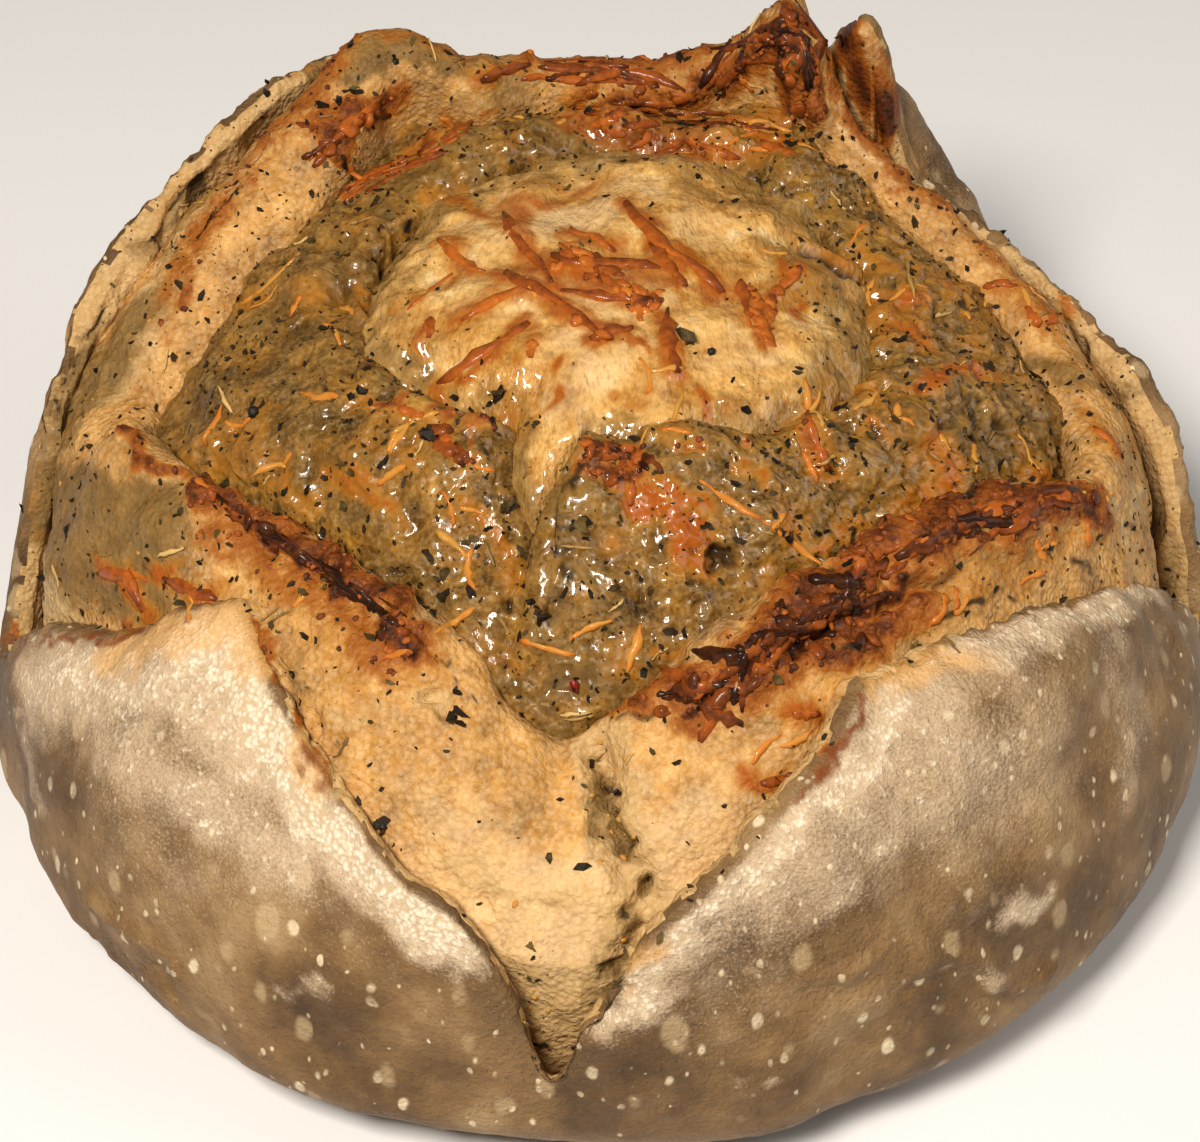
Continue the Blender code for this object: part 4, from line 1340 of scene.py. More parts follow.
STRAND_LINES = (
    # half width in pixels, number, lengths in pixels, widths in mm, how brown, pixels of the ridge
    (8, 24, (30, 90), (0.7, 1.5), (0.7, 1.0), LEFT_RIDGE),
    (26, 46, (14, 60), (1.2, 3.4), (0.55, 0.95), RIGHT_RIDGE),
    (16, 30, (16, 80), (1.0, 2.8), (0.5, 0.9), RIGHT_RIDGE_END),
    (8, 9, (20, 50), (1.2, 2.4), (0.55, 0.9), ((580, 455), (600, 450), (625, 455), (650, 470))),
    (9, 8, (20, 45), (1.6, 2.8), (0.35, 0.75), ((375, 408), (410, 420), (445, 435), (480, 470))),
    (12, 24, (12, 34), (1.2, 2.8), (0.4, 0.66), ((556, 252), (592, 264), (626, 284), (658, 308))),
    (8, 8, (14, 30), (1.6, 2.8), (0.4, 0.62), ((745, 285), (760, 320), (790, 285))),
    (12, 12, (30, 90), (1.0, 2.0), (0.55, 0.85), ((480, 82), (530, 66), (600, 70), (683, 90))),
    (12, 14, (30, 90), (1.0, 2.0), (0.5, 0.8), ((560, 112), (640, 108), (707, 117), (790, 130))),
    (20, 22, (30, 90), (1.0, 2.2), (0.55, 0.95), ((700, 95), (740, 62), (775, 35), (800, 40), (820, 90))),
    (8, 8, (25, 60), (1.2, 2.2), (0.5, 0.8), ((310, 165), (340, 130), (370, 108), (395, 100))),
    (7, 12, (30, 80), (0.9, 1.8), (0.45, 0.75), ((340, 203), (380, 176), (427, 153), (480, 115))),
)


def shred_burns(base):
    """A shade for each point of a shred: its ends and its back are darker, and its foot is gold."""
    ends = np.abs(ROD[:, 2] * 2) ** 3 * 0.14
    return np.clip(base - 0.08 + ends + 0.16 * ROD[:, 1] + dice.uniform(-0.06, 0.06), 0, 1)


def run_beside(pixels, half_width, length):
    """A random run of a line of pixels, moved to one side of it."""
    line_points = np.array(pixels, float)
    whole = np.linalg.norm(np.diff(line_points, axis=0), axis=1).sum()
    steps = 80
    count = min(steps, max(6, int(steps * length / whole)))
    first = dice.randrange(steps - count + 1)
    run = even_points(line_points, steps)[first : first + count]
    along = np.gradient(run, axis=0)
    side = np.stack([-along[:, 1], along[:, 0]], axis=1) / np.linalg.norm(along, axis=1, keepdims=True)
    offset = dice.gauss(0, 0.5 * half_width) + dice.gauss(0, 0.45 * half_width) * np.linspace(-1, 1, count)
    return run + side * offset[:, None]


shreds = {"browned": ([], []), "pale": ([], [])}


def lay_shred(path, width, burn):
    """Lays one shred, in mm wide, on a path, and keeps it with others of its kind."""
    if path is None:
        return
    copies, burns = shreds["browned" if burn > 0.35 else "pale"]
    copies.append(bend_rod(path, width * MM, 0.55 * width * MM, 0.55))
    burns.append(shred_burns(burn))


for width, burn, pixels in HERO_SHREDS + PALE_SHREDS:
    lay_shred(path_from_pixels(pixels), 1.05 * width, burn if burn < 0.35 else 0.34 + 0.34 * burn)
for half_width, number, lengths, widths, burns, pixels in STRAND_LINES:
    for _ in range(number):
        path = path_from_pixels(run_beside(pixels, half_width, dice.uniform(*lengths)))
        lay_shred(path, dice.uniform(*widths), dice.uniform(*burns))
for key, name, least, number, lengths, widths, burns in SHRED_DRIFTS:
    layer = LAYERS[key]
    weight = smooth_step(mark(layer, name), least, least + 0.3)
    for spot in spots_on(layer, weight, number):
        path = path_by_walking(spot, dice.uniform(*lengths) * MM, dice.uniform(-1.6, 1.6))
        lay_shred(path, dice.uniform(*widths), dice.uniform(*burns))

browned_shreds = join_copies("shreds_browned", ROD_FACES, *shreds["browned"])
pale_shreds = join_copies("shreds_pale", ROD_FACES, *shreds["pale"])

# %% [markdown]
# ## Herbs, stems and crumbs
# The herbs are dried leaves, rubbed to flakes a millimetre or so across, with some whole pieces of leaf
# and bits of straw-coloured stem. A flake starts as a flat five-sided plate, which is curled.
# They lie thick in the herb layer and thin on the dome, as the herb marks say.

# %% Herb flakes
bpy.ops.object.select_all(action="DESELECT")
bpy.ops.mesh.primitive_cylinder_add(vertices=5, radius=0.5, depth=0.12)
FLAKE, FLAKE_FACES = resized_model((1.0, 0.55, 1.0))
FLAKE[:, 2] += 0.6 * FLAKE[:, 0] ** 2 - 0.3 * FLAKE[:, 1] ** 2

HERB_COUNTS = {"herb": 2600, "golden": 1700, "core": 420, "crust": 300}
LEAF_PIXELS = (
    (503, 395),
    (581, 523),
    (507, 506),
    (432, 435),
    (687, 340),
    (455, 720),
    (545, 612),
    (385, 825),
)

flake_spots, flake_sizes = [], []
for key, number in HERB_COUNTS.items():
    found = spots_on(LAYERS[key], mark(LAYERS[key], "herb"), number)
    flake_spots += found
    flake_sizes += [min(dice.lognormvariate(-0.1, 0.45), 2.8) * MM for _ in found]
for pixel in LEAF_PIXELS:
    point, normal, _ = seen_at(trees, pixel)
    for _ in range(3):
        shift = Vector([dice.uniform(-1, 1) for _ in range(3)]) * 0.8 * MM
        flake_spots.append((point + shift, normal))
        flake_sizes.append(dice.uniform(2.2, 3.8) * MM)
copies = lay_flat(FLAKE, flake_spots, flake_sizes, 0.4, 0.06)
burns = [np.full(len(FLAKE), dice.random()) for _ in copies]
herb_flakes = join_copies("herb_flakes", FLAKE_FACES, copies, burns, smooth=False)

# %% Stems
STEM_PIXELS = (
    ((220, 387), (226, 400), (233, 413)),
    ((500, 618), (510, 634)),
    ((522, 1022), (532, 1026), (540, 1027)),
    ((180, 205), (205, 203)),
    ((160, 555), (185, 548)),
    ((905, 260), (915, 300)),
    ((560, 715), (590, 712)),
    ((350, 225), (372, 218)),
    ((820, 465), (835, 455)),
    ((935, 318), (950, 312)),
)
stem_copies, stem_burns = [], []
for pixels in STEM_PIXELS:
    path = path_from_pixels(pixels)
    if path:
        stem_copies.append(bend_rod(path, 0.8 * MM, 0.7 * MM, 0.1))
        stem_burns.append(np.full(len(ROD), dice.random()))
for key, number in (("herb", 46), ("golden", 60)):
    for spot in spots_on(LAYERS[key], mark(LAYERS[key], "herb"), number):
        path = path_by_walking(spot, dice.uniform(2.0, 5.5) * MM, dice.uniform(-0.4, 0.4))
        if path:
            stem_copies.append(bend_rod(path, dice.uniform(0.35, 0.7) * MM, 0.45 * MM, 0.1))
            stem_burns.append(np.full(len(ROD), dice.random()))
stems = join_copies("herb_stems", ROD_FACES, stem_copies, stem_burns)

# %% [markdown]
# ### Melted blobs of cheese
# Where shreds lay in a heap they ran together and set as small round lumps, from 2 to 4 mm wide. One
# flattened ball of 80 faces is copied, and every copy is turned, sized and dented by itself.

# %% Melted blobs of cheese
bpy.ops.object.select_all(action="DESELECT")
bpy.ops.mesh.primitive_ico_sphere_add(subdivisions=2, radius=0.5)
BLOB, BLOB_FACES = resized_model((1.0, 0.7, 0.42))

BLOB_PIXELS = (
    # size in mm, how brown, pixels
    (3.4, 0.5, ((565, 256), (588, 262), (606, 272), (622, 284))),
    (3.4, 0.5, ((640, 292), (654, 306), (604, 334), (575, 322))),
    (3.2, 0.55, ((748, 288), (756, 312), (768, 340), (778, 290), (792, 274))),
    (4.0, 0.72, ((660, 712), (690, 690), (730, 672), (770, 640))),
    (4.0, 0.72, ((820, 600), (870, 570), (950, 530), (1030, 510))),
    (3.6, 0.62, ((590, 95), (640, 90), (680, 100), (370, 120))),
    (3.6, 0.62, ((350, 130), (330, 150), (790, 80), (800, 110))),
)
BLOB_DRIFTS = (("golden", "brown", 0.6, 40, (0.6, 0.9)), ("herb", "brown", 0.6, 16, (0.5, 0.8)))

blob_spots, sizes, burns = [], [], []
for size, burn, pixels in BLOB_PIXELS:
    for pixel in pixels:
        blob_spots.append(seen_at(trees, pixel)[:2])
        sizes.append(size * dice.uniform(0.8, 1.3) * MM)
        burns.append(np.clip(burn + 0.25 * BLOB[:, 2] + dice.uniform(-0.05, 0.05), 0, 1))
for key, name, least, number, shades in BLOB_DRIFTS:
    for spot in spots_on(LAYERS[key], smooth_step(mark(LAYERS[key], name), least, least + 0.3), number):
        blob_spots.append(spot)
        sizes.append(dice.uniform(1.6, 3.6) * MM)
        burns.append(np.clip(dice.uniform(*shades) + 0.25 * BLOB[:, 2], 0, 1))
copies = lay_flat(BLOB, blob_spots, sizes, 0.3, 0.0)
cheese_blobs = join_copies("cheese_blobs", BLOB_FACES, copies, burns)

# %% Crumbs, peppercorns and a fleck of chilli
bpy.ops.object.select_all(action="DESELECT")
bpy.ops.mesh.primitive_ico_sphere_add(subdivisions=1, radius=0.5)
CRUMB, CRUMB_FACES = resized_model((1.0, 0.8, 0.6))

CRUMB_DRIFTS = (("golden", "brown", 420, 0.72), ("herb", "brown", 80, 0.75), ("golden", "torn", 120, 0.08))
copies, burns = [], []
for key, name, number, shade in CRUMB_DRIFTS:
    found = spots_on(LAYERS[key], mark(LAYERS[key], name) ** 2, number)
    sizes = [dice.uniform(0.7, 1.7) * MM for _ in found]
    copies += lay_flat(CRUMB, found, sizes, 0.4, -0.05)
    burns += [np.full(len(CRUMB), shade + dice.uniform(-0.15, 0.15)) for _ in found]
crumbs = join_copies("crumbs", CRUMB_FACES, copies, burns)

PEPPER_PIXELS = ((255, 413), (711, 353), (383, 826))
pepper_spots = [seen_at(trees, pixel)[:2] for pixel in PEPPER_PIXELS]
copies = lay_flat(CRUMB * (1, 1.1, 1.3), pepper_spots, [2.6 * MM, 1.8 * MM, 1.8 * MM], 0.12, 0.2)
peppercorns = join_copies("peppercorns", CRUMB_FACES, copies, [np.zeros(len(CRUMB))] * len(copies))
CHILLI_PIXEL = (575, 685)
chilli_spot = seen_at(trees, CHILLI_PIXEL)[:2]
copies = lay_flat(FLAKE * (1, 1.2, 1.5), [chilli_spot], [2.6 * MM], 0.2, 0.15)
chilli = join_copies("chilli_fleck", FLAKE_FACES, copies, [np.zeros(len(FLAKE))])

# %% [markdown]
# ## Materials
# A material here starts from what the surface is, and from sizes that were measured on the loaf.
# Every finish has a mark on the mesh that says where it lies. The shader makes the mark's edge ragged
# with a noise, and lays the finish's colour over the ones before, as the oven did. A few marks are not
# finishes but painted shade in hollows and folds, and a painted highlight on raised points.

# %% Helpers for materials
def hex_colour(code):
    """The linear colour that Blender wants, from an sRGB hex value."""
    parts = [int(code[i : i + 2], 16) / 255 for i in (1, 3, 5)]
    linear = [c / 12.92 if c <= 0.04045 else ((c + 0.055) / 1.055) ** 2.4 for c in parts]
    return (*linear, 1)


def add(tree, kind, settings=None, inputs=None, stops=()):
    """Adds a node. An input that is given a socket gets a link, any other its value."""
    made = tree.nodes.new(kind)
    for name, value in (settings or {}).items():
        setattr(made, name, value)
    for key, value in (inputs or {}).items():
        if isinstance(value, bpy.types.NodeSocket):
            tree.links.new(value, made.inputs[key])
        else:
            made.inputs[key].default_value = value
    if stops:
        elements = made.color_ramp.elements
        elements.remove(elements[-1])
        elements[0].position, elements[0].color = stops[0][0], hex_colour(stops[0][1])
        for position, code in stops[1:]:
            elements.new(position).color = hex_colour(code)
    return made


def start_material(name):
    """A new material, its nodes, its shader, and the place on the object in metres."""
    material = bpy.data.materials.new(name)
    material.use_nodes = True
    tree = material.node_tree
    place = add(tree, "ShaderNodeTexCoord").outputs["Object"]
    return material, tree, tree.nodes["Principled BSDF"], place


def spread(tree, name, noise, ragged_by, low, high):
    """How much of a finish shows: the mark on the mesh, with its edge made ragged by a noise."""
    amount = add(tree, "ShaderNodeAttribute", {"attribute_name": name}).outputs["Fac"]
    moved = add(tree, "ShaderNodeMath", {"operation": "MULTIPLY_ADD"}, {0: noise, 1: ragged_by, 2: amount})
    limits = {"Value": moved.outputs[0], "From Min": low + ragged_by / 2, "From Max": high + ragged_by / 2}
    return add(tree, "ShaderNodeMapRange", {"interpolation_type": "SMOOTHSTEP"}, limits).outputs[0]


def spots(tree, place, sizes, share, softness):
    """Round spots of several sizes in a random scatter, each with its own width."""
    found = 0.0
    for size in sizes:
        cells = add(tree, "ShaderNodeTexVoronoi", None, {"Vector": place, "Scale": 1 / (size * MM)})
        pick = add(tree, "ShaderNodeSeparateColor", None, {0: cells.outputs["Color"]}).outputs[0]
        inputs = {0: pick, 1: share, 2: share * -0.35}
        reach = add(tree, "ShaderNodeMath", {"operation": "MULTIPLY_ADD"}, inputs).outputs[0]
        inputs = {0: reach, 1: cells.outputs["Distance"]}
        inside = add(tree, "ShaderNodeMath", {"operation": "SUBTRACT"}, inputs).outputs[0]
        inputs = {"Value": inside, "From Min": 0.0, "From Max": softness}
        one = add(tree, "ShaderNodeMapRange", {"interpolation_type": "SMOOTHSTEP"}, inputs).outputs[0]
        found = add(tree, "ShaderNodeMath", {"operation": "MAXIMUM"}, {0: found, 1: one}).outputs[0]
    return found


def coats(tree, base, layers):
    """Lays colours over a base, each with its strength, how much of it shows, and the colour."""
    for strength, shows, colour in layers:
        amount = add(tree, "ShaderNodeMath", {"operation": "MULTIPLY"}, {0: shows, 1: strength}).outputs[0]
        colour = hex_colour(colour) if isinstance(colour, str) else colour
        base = add(tree, "ShaderNodeMix", {"data_type": "RGBA"}, {0: amount, 6: base, 7: colour}).outputs[2]
    return base


def finish(tree, shader, colour, roughness, parts):
    """Gives the shader its colour and roughness, and a fine relief from noises, each so many mm high."""
    height = 0.0
    for weight, part in parts:
        inputs = {0: part, 1: weight, 2: height}
        height = add(tree, "ShaderNodeMath", {"operation": "MULTIPLY_ADD"}, inputs).outputs[0]
    bump = add(tree, "ShaderNodeBump", None, {"Strength": 1.0, "Distance": MM, "Height": height})
    for socket, source in (("Base Color", colour), ("Roughness", roughness), ("Normal", bump.outputs[0])):
        tree.links.new(source, shader.inputs[socket])
    print(len(tree.nodes), "nodes")


# %% [markdown]
# ### The floured crust
# Sourdough crust is dough that dried and browned: grey-brown, matt to slightly satin, with hundreds of
# round pale blisters from 1 to 5 mm across where the skin lifted. Rice flour from the proving basket
# lies on it in a dry chalky film that cracked as the loaf grew, and turned cream where the oven was hot.

# %% Floured sourdough crust
crust_dough, tree, shader, place = start_material("floured_sourdough_crust")
CRUST_NOISES = {
    # size in mm, octaves, roughness
    "drift": (4.0, 1.0, 0.5),
    "broad": (24.0, 5.0, 0.62),
    "patchy": (7.0, 4.0, 0.7),
    "chalk": (2.2, 3.0, 0.75),
    "grain": (0.5, 1.0, 0.75),
}
noise = {}
for name, (size, octaves, roughness) in CRUST_NOISES.items():
    inputs = {"Vector": place, "Scale": 1 / (size * MM), "Detail": octaves, "Roughness": roughness}
    noise[name] = add(tree, "ShaderNodeTexNoise", None, inputs).outputs
inputs = {0: noise["drift"]["Color"], "Scale": 1.8 * MM}
offset = add(tree, "ShaderNodeVectorMath", {"operation": "SCALE"}, inputs).outputs[0]
bent = add(tree, "ShaderNodeVectorMath", None, {0: place, 1: offset}).outputs[0]
inputs = {0: bent, 1: (1.0, 1.0, 0.62)}  # blisters are taller than wide
tall = add(tree, "ShaderNodeVectorMath", {"operation": "MULTIPLY"}, inputs).outputs[0]
SKIN_STOPS = ((0.3, "#483521"), (0.43, "#654c2f"), (0.55, "#80633f"), (0.7, "#a0845d"))
skin = add(tree, "ShaderNodeValToRGB", None, {0: noise["broad"]["Fac"]}, stops=SKIN_STOPS).outputs[0]
discs = spots(tree, tall, (6.6,), 0.7, 0.16)
beads = spots(tree, tall, (4.4, 2.2), 0.5, 0.13)
inputs = {"Value": noise["patchy"]["Fac"], "From Min": 0.36, "From Max": 0.6, "To Min": 0.3, "To Max": 1.0}
uneven = add(tree, "ShaderNodeMapRange", None, inputs).outputs[0]
cells = add(tree, "ShaderNodeTexVoronoi", None, {"Vector": bent, "Scale": 1 / (0.95 * MM)})
inputs = {"Value": cells.outputs["Distance"], "From Min": 0.7, "From Max": 0.25}
scaly = add(tree, "ShaderNodeMapRange", None, inputs).outputs[0]
film = spread(tree, "flour", noise["patchy"]["Fac"], 1.2, 0.2, 1.1)
dusty = spread(tree, "flour", noise["grain"]["Fac"], 1.6, 0.3, 1.1)
caked = spread(tree, "flour", noise["chalk"]["Fac"], 1.9, 0.8, 1.15)
toasted = spread(tree, "toast", noise["patchy"]["Fac"], 0.8, 0.25, 0.9)
browned = spread(tree, "brown", noise["patchy"]["Fac"], 0.9, 0.3, 0.9)
flour = coats(tree, hex_colour("#c2ac8b"), ((1.0, scaly, "#ebddc7"),))
colour = coats(
    tree,
    skin,
    (
        (0.6, discs, "#b99f78"),
        (0.7, film, "#c2a98c"),
        (0.45, dusty, "#d8c3a2"),
        (uneven, beads, "#dac7a5"),
        (0.9, caked, flour),
        (0.6, toasted, "#d3a05a"),
        (1.0, browned, "#77401a"),
    ),
)
inputs = {"Value": caked, "To Min": 0.5, "To Max": 0.95}
roughness = add(tree, "ShaderNodeMapRange", None, inputs).outputs[0]
heights = ((0.15, noise["grain"]["Fac"]), (0.7, noise["chalk"]["Fac"]), (0.12, scaly))
finish(tree, shader, colour, roughness, heights)
shader.inputs["Specular IOR Level"].default_value = 0.18

# %% [markdown]
# ### Baked dough with cheese and herbs
# Inside the crust the dough carries melted cheese, oil and powdered herbs. Fat makes it satin to wet,
# steam made it partly clear, and its crumb shows pores of about a millimetre. The three inner layers
# are the same dough, so one function makes their materials, and each has its own base colours. Melted
# cheese draws out in strings, which a ridged noise gives, and on the dome the dough stretched to fibres.

# %% Dough of the inner layers
HEAT_STOPS = (
    (0.08, "#b07c38"),
    (0.24, "#9c5f22"),
    (0.42, "#8a4c18"),
    (0.6, "#5c2c0c"),
    (0.8, "#331706"),
    (1.0, "#170a03"),
)
DOUGH_NOISES = {
    # size in mm, octaves, roughness, kind
    "broad": (8.0, 6.0, 0.7, "FBM"),
    "patchy": (3.4, 4.0, 0.7, "FBM"),
    "grain": (0.9, 1.0, 0.6, "FBM"),
    "lumps": (2.6, 0.0, 0.5, "FBM"),
    "drops": (1.3, 0.0, 0.5, "FBM"),
    "strings": (5.0, 1.0, 0.5, "RIDGED_MULTIFRACTAL"),
}


def baked_dough(name, base_codes, speck_sizes, wetness, oil, stretch, relief, flecked):
    """Dough with fat in it. Stretch draws its pattern out, and relief gives the noises' heights in mm."""
    material, tree, shader, place = start_material(name)
    drawn = add(tree, "ShaderNodeVectorMath", {"operation": "MULTIPLY"}, {0: place, 1: stretch}).outputs[0]
    noise = {}
    for key, (size, octaves, roughness, kind) in DOUGH_NOISES.items():
        where = place if key == "broad" else drawn
        inputs = {"Vector": where, "Scale": 1 / (size * MM), "Detail": octaves, "Roughness": roughness}
        made = add(tree, "ShaderNodeTexNoise", {"noise_type": kind}, inputs)
        if kind == "RIDGED_MULTIFRACTAL":
            made.inputs["Offset"].default_value = 0.9
            made.inputs["Gain"].default_value = 1.6
        noise[key] = made.outputs
    field = {key: outputs["Fac"] for key, outputs in noise.items()}
    patchy, grain = field["patchy"], field["grain"]
    inputs = {"Value": field["strings"], "From Min": 0.7, "From Max": 1.7}
    field["strings"] = add(tree, "ShaderNodeMapRange", None, inputs).outputs[0]
    inputs = {0: noise["grain"]["Color"], "Scale": 0.8 * MM}
    offset = add(tree, "ShaderNodeVectorMath", {"operation": "SCALE"}, inputs).outputs[0]
    bent = add(tree, "ShaderNodeVectorMath", None, {0: place, 1: offset}).outputs[0]
    inputs = {"Value": grain, "From Min": 0.42, "From Max": 0.72}
    flecks = add(tree, "ShaderNodeMapRange", None, inputs).outputs[0]
    inputs = {"Value": grain, "From Min": 0.45, "From Max": 0.25}
    pits = add(tree, "ShaderNodeMapRange", None, inputs).outputs[0]
    stops = tuple(zip((0.3, 0.43, 0.56, 0.7), base_codes))
    base = add(tree, "ShaderNodeValToRGB", None, {0: noise["broad"]["Fac"]}, stops=stops).outputs[0]
    # The hollow mark paints light into the colour: painted shade and more toasting colour in hollows, and a
    # painted highlight on raised points.
    hollow = add(tree, "ShaderNodeAttribute", {"attribute_name": "hollow"}).outputs["Fac"]
    inputs = {"Value": hollow, "From Min": 0.45, "From Max": 0.1}
    high = add(tree, "ShaderNodeMapRange", None, inputs).outputs[0]
    heat = add(tree, "ShaderNodeAttribute", {"attribute_name": "brown"}).outputs["Fac"]
    # hollows add to the heat, as painted shade
    for strength, source in ((1.0, patchy), (0.4, grain), (0.5, hollow)):
        inputs = {0: source, 1: strength, 2: heat}
        heat = add(tree, "ShaderNodeMath", {"operation": "MULTIPLY_ADD"}, inputs).outputs[0]
    inputs = {"Value": heat, "From Min": 0.9, "From Max": 2.45}
    heat = add(tree, "ShaderNodeMapRange", None, inputs).outputs[0]
    toasting = add(tree, "ShaderNodeValToRGB", None, {0: heat}, stops=HEAT_STOPS).outputs[0]
    herb_mark = add(tree, "ShaderNodeAttribute", {"attribute_name": "herb"}).outputs["Fac"]
    specks = spots(tree, bent, speck_sizes, 0.5, 0.1)
    dusted = add(tree, "ShaderNodeMath", {"operation": "MULTIPLY"}, {0: specks, 1: herb_mark}).outputs[0]
    crumb = ()
    if "bubbles" in relief:
        cells = add(tree, "ShaderNodeTexVoronoi", None, {"Vector": bent, "Scale": 1 / (1.2 * MM)})
        inputs = {"Value": cells.outputs["Distance"], "From Min": 0.8, "From Max": 0.2}
        field["bubbles"] = add(tree, "ShaderNodeMapRange", None, inputs).outputs[0]
        crumb = (
            (0.22, field["bubbles"], "#f0d6aa"),
            # darker round spots: painted shade in the crumb's pores
            (0.35, spots(tree, bent, (2.4,), 0.45, 0.2), "#6b4519"),
        )
    colour = coats(
        tree,
        base,
        (
            (0.7, spread(tree, "cream", patchy, 0.9, 0.3, 1.0), "#dabb8c"),
            (0.9, spread(tree, "torn", patchy, 0.7, 0.3, 0.7), "#b3925f"),
            (flecked, flecks, "#dcb672"),
            (0.9 * flecked, pits, "#8a5c24"),
            *crumb,
            (0.85, spread(tree, "grey", patchy, 0.9, 0.3, 0.9), "#634a22"),
            # painted highlight on raised points
            (0.15, high, "#d3a860"),
            (0.2, field["strings"], "#cf9d50"),
            (0.65, spread(tree, "gold", patchy, 1.1, 0.35, 1.1), "#a96e1e"),
            (0.88, spread(tree, "gold", patchy, 1.0, 0.8, 1.5), "#9a4a06"),
            # painted shade in hollows
            (0.65, spread(tree, "hollow", grain, 0.7, 0.5, 1.0), "#40280c"),
            (0.9, dusted, "#241a0b"),
            (1.0, spread(tree, "brown", patchy, 0.9, 0.1, 0.5), toasting),
            # painted shade in folds, gaps, bubbles and holes
            (0.9, spread(tree, "deep", grain, 0.1, 0.1, 0.8), "#241708"),
        ),
    )
    inputs = {"Value": patchy, "From Min": 0.35, "From Max": 0.65}
    inputs |= {"To Min": wetness, "To Max": wetness + 0.25}
    gloss = add(tree, "ShaderNodeMapRange", None, inputs).outputs[0]
    finish(tree, shader, colour, gloss, tuple((height, field[key]) for key, height in relief.items()))
    if oil:
        inputs = {"Strength": 1.0, "Distance": 1.3 * MM, "Height": field["lumps"]}
        film = add(tree, "ShaderNodeBump", None, inputs)
        tree.links.new(film.outputs[0], shader.inputs["Coat Normal"])
        shader.inputs["Coat Weight"].default_value = oil
        shader.inputs["Coat Roughness"].default_value = 0.1
    shader.inputs["Specular IOR Level"].default_value = 0.18
    print(name)
    return material


# %% The three doughs
EVEN = (1.0, 1.0, 1.0)
DOWN_THE_DOME = (1.0, 0.5, 0.6)  # fibres run down the dome's front and back

golden_dough = baked_dough(
    "golden_bread_crumb",
    base_codes=("#64431b", "#996a30", "#bd8943", "#d9ac68"),
    speck_sizes=(1.0,),
    wetness=0.42,
    oil=0.0,
    stretch=EVEN,
    relief={"lumps": 0.25, "grain": 0.25, "bubbles": 0.22},
    flecked=0.2,
)
herb_dough = baked_dough(
    "herb_and_oil_dough",
    base_codes=("#2b1a04", "#4b320a", "#704b12", "#9f7322"),
    speck_sizes=(1.3, 0.75),
    wetness=0.25,
    oil=0.5,
    stretch=EVEN,
    relief={"lumps": 0.6, "drops": 0.35, "strings": 0.35},
    flecked=0.2,
)
core_dough = baked_dough(
    "melted_cheese_dough",
    base_codes=("#80501b", "#b27d37", "#d6a860", "#ecd29b"),
    speck_sizes=(1.0,),
    wetness=0.25,
    oil=0.65,
    stretch=DOWN_THE_DOME,
    relief={"lumps": 0.35, "drops": 0.3, "grain": 0.6},
    flecked=0.4,
)

# %% [markdown]
# ### Cheese, herbs and crumbs
# Browned cheese goes from straw to orange, red-brown and nearly black, and its fat makes it glossy.
# Dried herb is matt and nearly black-brown when it is wet with oil. Stems are straw, a little shiny.
# Each copy has its own shade on the mesh, so no two look alike.

# %% Cheese, herbs and crumbs
def shaded(name, stops, roughness, size, specular, coat=0.0):
    """A material that takes its colour from each copy's own shade and a noise of this size."""
    material, tree, shader, place = start_material(name)
    shade = add(tree, "ShaderNodeAttribute", {"attribute_name": "burn"}).outputs["Fac"]
    inputs = {"Vector": place, "Scale": 1 / (size * MM), "Detail": 4.0, "Roughness": 0.6}
    noise = add(tree, "ShaderNodeTexNoise", None, inputs).outputs["Fac"]
    inputs = {0: noise, 1: 0.5, 2: shade}
    value = add(tree, "ShaderNodeMath", {"operation": "MULTIPLY_ADD"}, inputs).outputs[0]
    moved = add(tree, "ShaderNodeMath", {"operation": "SUBTRACT"}, {0: value, 1: 0.25}).outputs[0]
    colour = add(tree, "ShaderNodeValToRGB", None, {0: moved}, stops=stops).outputs[0]
    bump = add(tree, "ShaderNodeBump", None, {"Strength": 0.6, "Distance": 0.4 * MM, "Height": noise})
    tree.links.new(colour, shader.inputs["Base Color"])
    tree.links.new(bump.outputs[0], shader.inputs["Normal"])
    shader.inputs["Roughness"].default_value = roughness
    shader.inputs["Specular IOR Level"].default_value = specular
    shader.inputs["Coat Weight"].default_value = coat
    print(name, len(tree.nodes), "nodes")
    return material


CHEESE_STOPS = (
    (0.0, "#b48a42"),
    (0.2, "#c08436"),
    (0.38, "#bf7128"),
    (0.52, "#a9591c"),
    (0.68, "#824016"),
    (0.84, "#4f260d"),
    (1.0, "#261207"),
)
LEAF_STOPS = ((0.0, "#120d06"), (0.45, "#23190b"), (0.8, "#3e3015"), (1.0, "#625026"))
STEM_STOPS = ((0.0, "#6b5126"), (0.5, "#a27f42"), (1.0, "#cfae6c"))
PEPPER_STOPS = ((0.0, "#120d09"), (0.5, "#2a1f17"), (1.0, "#4a3a2b"))
CHILLI_STOPS = ((0.0, "#7d0f08"), (0.5, "#b3200f"), (1.0, "#cf4a20"))
cheese = shaded("melted_browned_cheese", CHEESE_STOPS, 0.42, 1.8, 0.12, 0.18)
herb_leaf = shaded("dried_herb_leaf", LEAF_STOPS, 0.6, 1.0, 0.2)
straw = shaded("dried_herb_stem", STEM_STOPS, 0.5, 1.5, 0.4)
toasted_crumb = shaded("toasted_crumb", CHEESE_STOPS, 0.65, 1.2, 0.3)
pepper_skin = shaded("black_pepper", PEPPER_STOPS, 0.5, 0.6, 0.4)
chilli_skin = shaded("dried_chilli", CHILLI_STOPS, 0.3, 0.8, 0.5, 0.4)

# %% [markdown]
# ## Put it all on the frame
# Each layer's marks go onto its mesh as attributes. Every piece then rides on the loaf's only body and
# stands for the CAD solid, which stays in the model for collision.

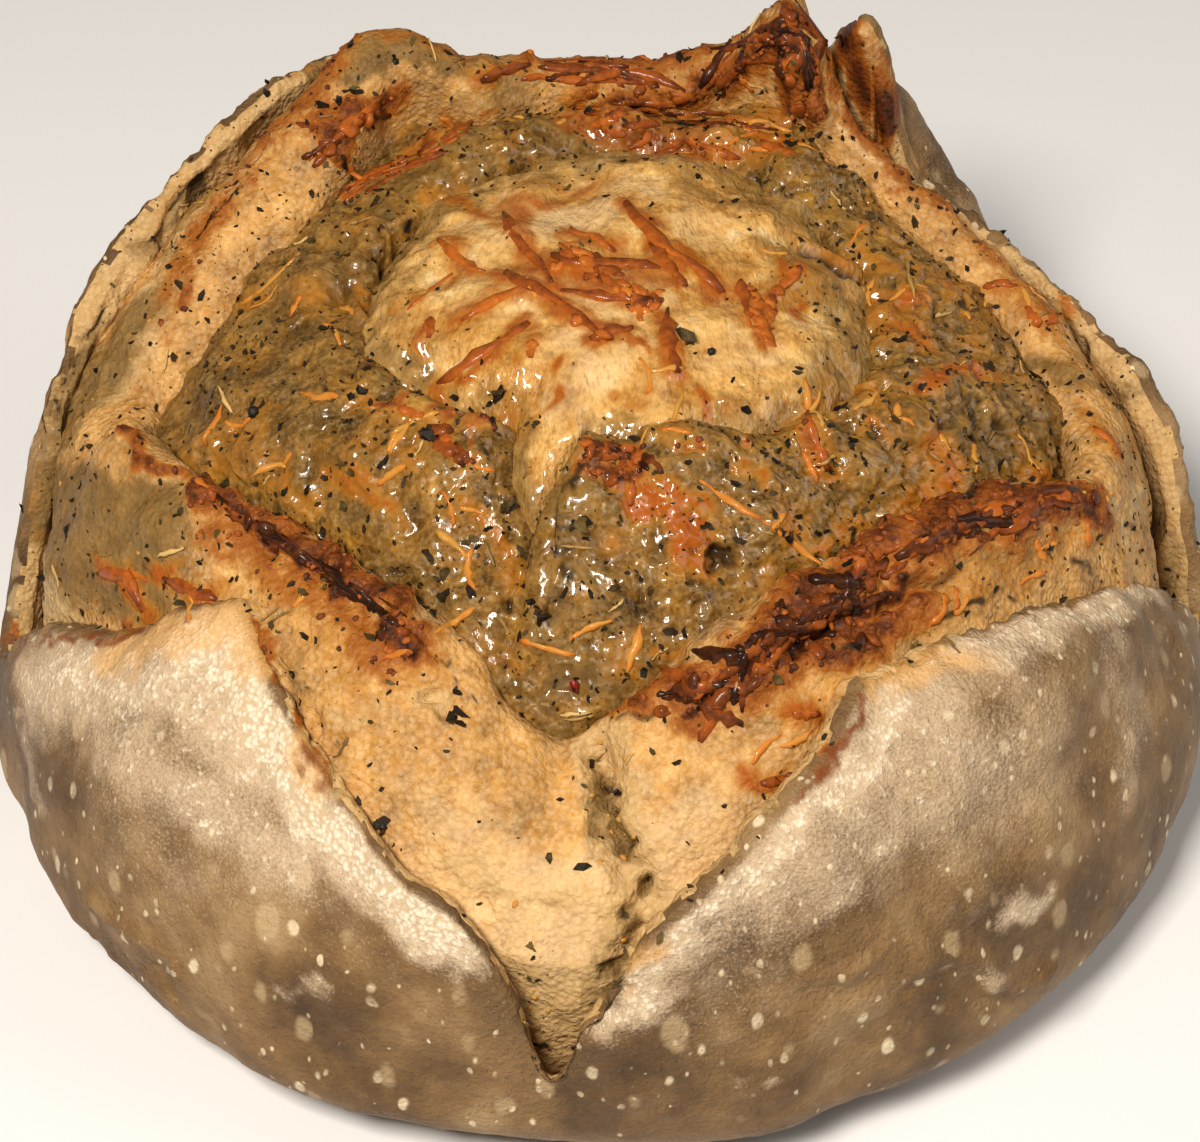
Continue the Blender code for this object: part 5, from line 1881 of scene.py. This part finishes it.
# %% Attributes, finishes and frame
LAYER_DOUGHS = {"crust": crust_dough, "golden": golden_dough, "herb": herb_dough, "core": core_dough}
TOPPINGS = (
    (browned_shreds, cheese),
    (pale_shreds, cheese),
    (cheese_blobs, cheese),
    (herb_flakes, herb_leaf),
    (stems, straw),
    (crumbs, toasted_crumb),
    (peppercorns, pepper_skin),
    (chilli, chilli_skin),
)
MARK_NAMES = ("brown", "gold", "torn", "grey", "deep", "hollow", "herb", "flour", "toast", "cream")

for key, layer in LAYERS.items():
    mesh = layer["piece"].data
    for name in MARK_NAMES:
        values = mark(layer, name).reshape(layer["grid"].shape[:2])[layer["place"]]
        attribute = mesh.attributes.new(name, "FLOAT", "POINT")
        attribute.data.foreach_set("value", values.astype(np.float32))
    mesh.shade_smooth()

pieces = [(LAYERS[key]["piece"], dough) for key, dough in LAYER_DOUGHS.items()]
pieces += list(TOPPINGS)
triangles = 0
for piece, material in pieces:
    piece.data.materials.clear()
    piece.data.materials.append(material)
    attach(piece, "root")
    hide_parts("loaf")
    triangles += sum(len(face.vertices) - 2 for face in piece.data.polygons)
print(len(pieces), "pieces,", triangles, "triangles")

# %% The crust's inner side
crust_mesh = LAYERS["crust"]["piece"].data
crust_mesh.materials.append(golden_dough)
ragged_edge = 1.2 * MM * rough_noise(LAYERS["crust"]["points"], 5 * MM, 81) - 0.6 * MM
inside_crust = LAYERS["crust"]["from_rim"] < ragged_edge
inside_crust = inside_crust.reshape(LAYERS["crust"]["grid"].shape[:2])[LAYERS["crust"]["place"]]
for face in crust_mesh.polygons:
    face.material_index = int(inside_crust[face.vertices[0]])
print(sum(face.material_index for face in crust_mesh.polygons), "faces of the crust show its crumb")

# %% [markdown]
# ## Floor and light
# A plain pale floor and soft light: a warm lamp high in front on the left, whose size keeps the
# glints on the wet cheese small, a wider and weaker one on the right, and a pale world that fills
# the folds.

# %% Floor
bpy.ops.object.select_all(action="DESELECT")
bpy.ops.mesh.primitive_plane_add(size=6.0)
floor = bpy.context.object
floor.name = "floor"
paint, tree, shader, place = start_material("matt_white_paint")
shader.inputs["Base Color"].default_value = hex_colour("#e3e5e8")
shader.inputs["Roughness"].default_value = 0.9
floor.data.materials.append(paint)

# %% Light
def lamp(name, place, size, power, code):
    """A square soft lamp of this size in metres, turned to the loaf."""
    bpy.ops.object.light_add(type="AREA", location=place)
    light = bpy.context.object
    light.name = name
    light.rotation_euler = (Vector((0, 0, 0.05)) - Vector(place)).to_track_quat("-Z", "Y").to_euler()
    light.data.size = size
    light.data.energy = power
    light.data.color = hex_colour(code)[:3]
    return light


lamp("key_light", place=(-0.24, -0.5, 0.85), size=0.24, power=12.5, code="#fff4e6")
lamp("fill_light", place=(0.75, -0.05, 0.6), size=0.6, power=2.7, code="#fff6ea")
world = bpy.data.worlds.new("pale_room")
world.use_nodes = True
world.node_tree.nodes["Background"].inputs["Color"].default_value = hex_colour("#f4f1ec")
world.node_tree.nodes["Background"].inputs["Strength"].default_value = 0.15
bpy.context.scene.world = world
bpy.context.scene.view_settings.view_transform = "Standard"
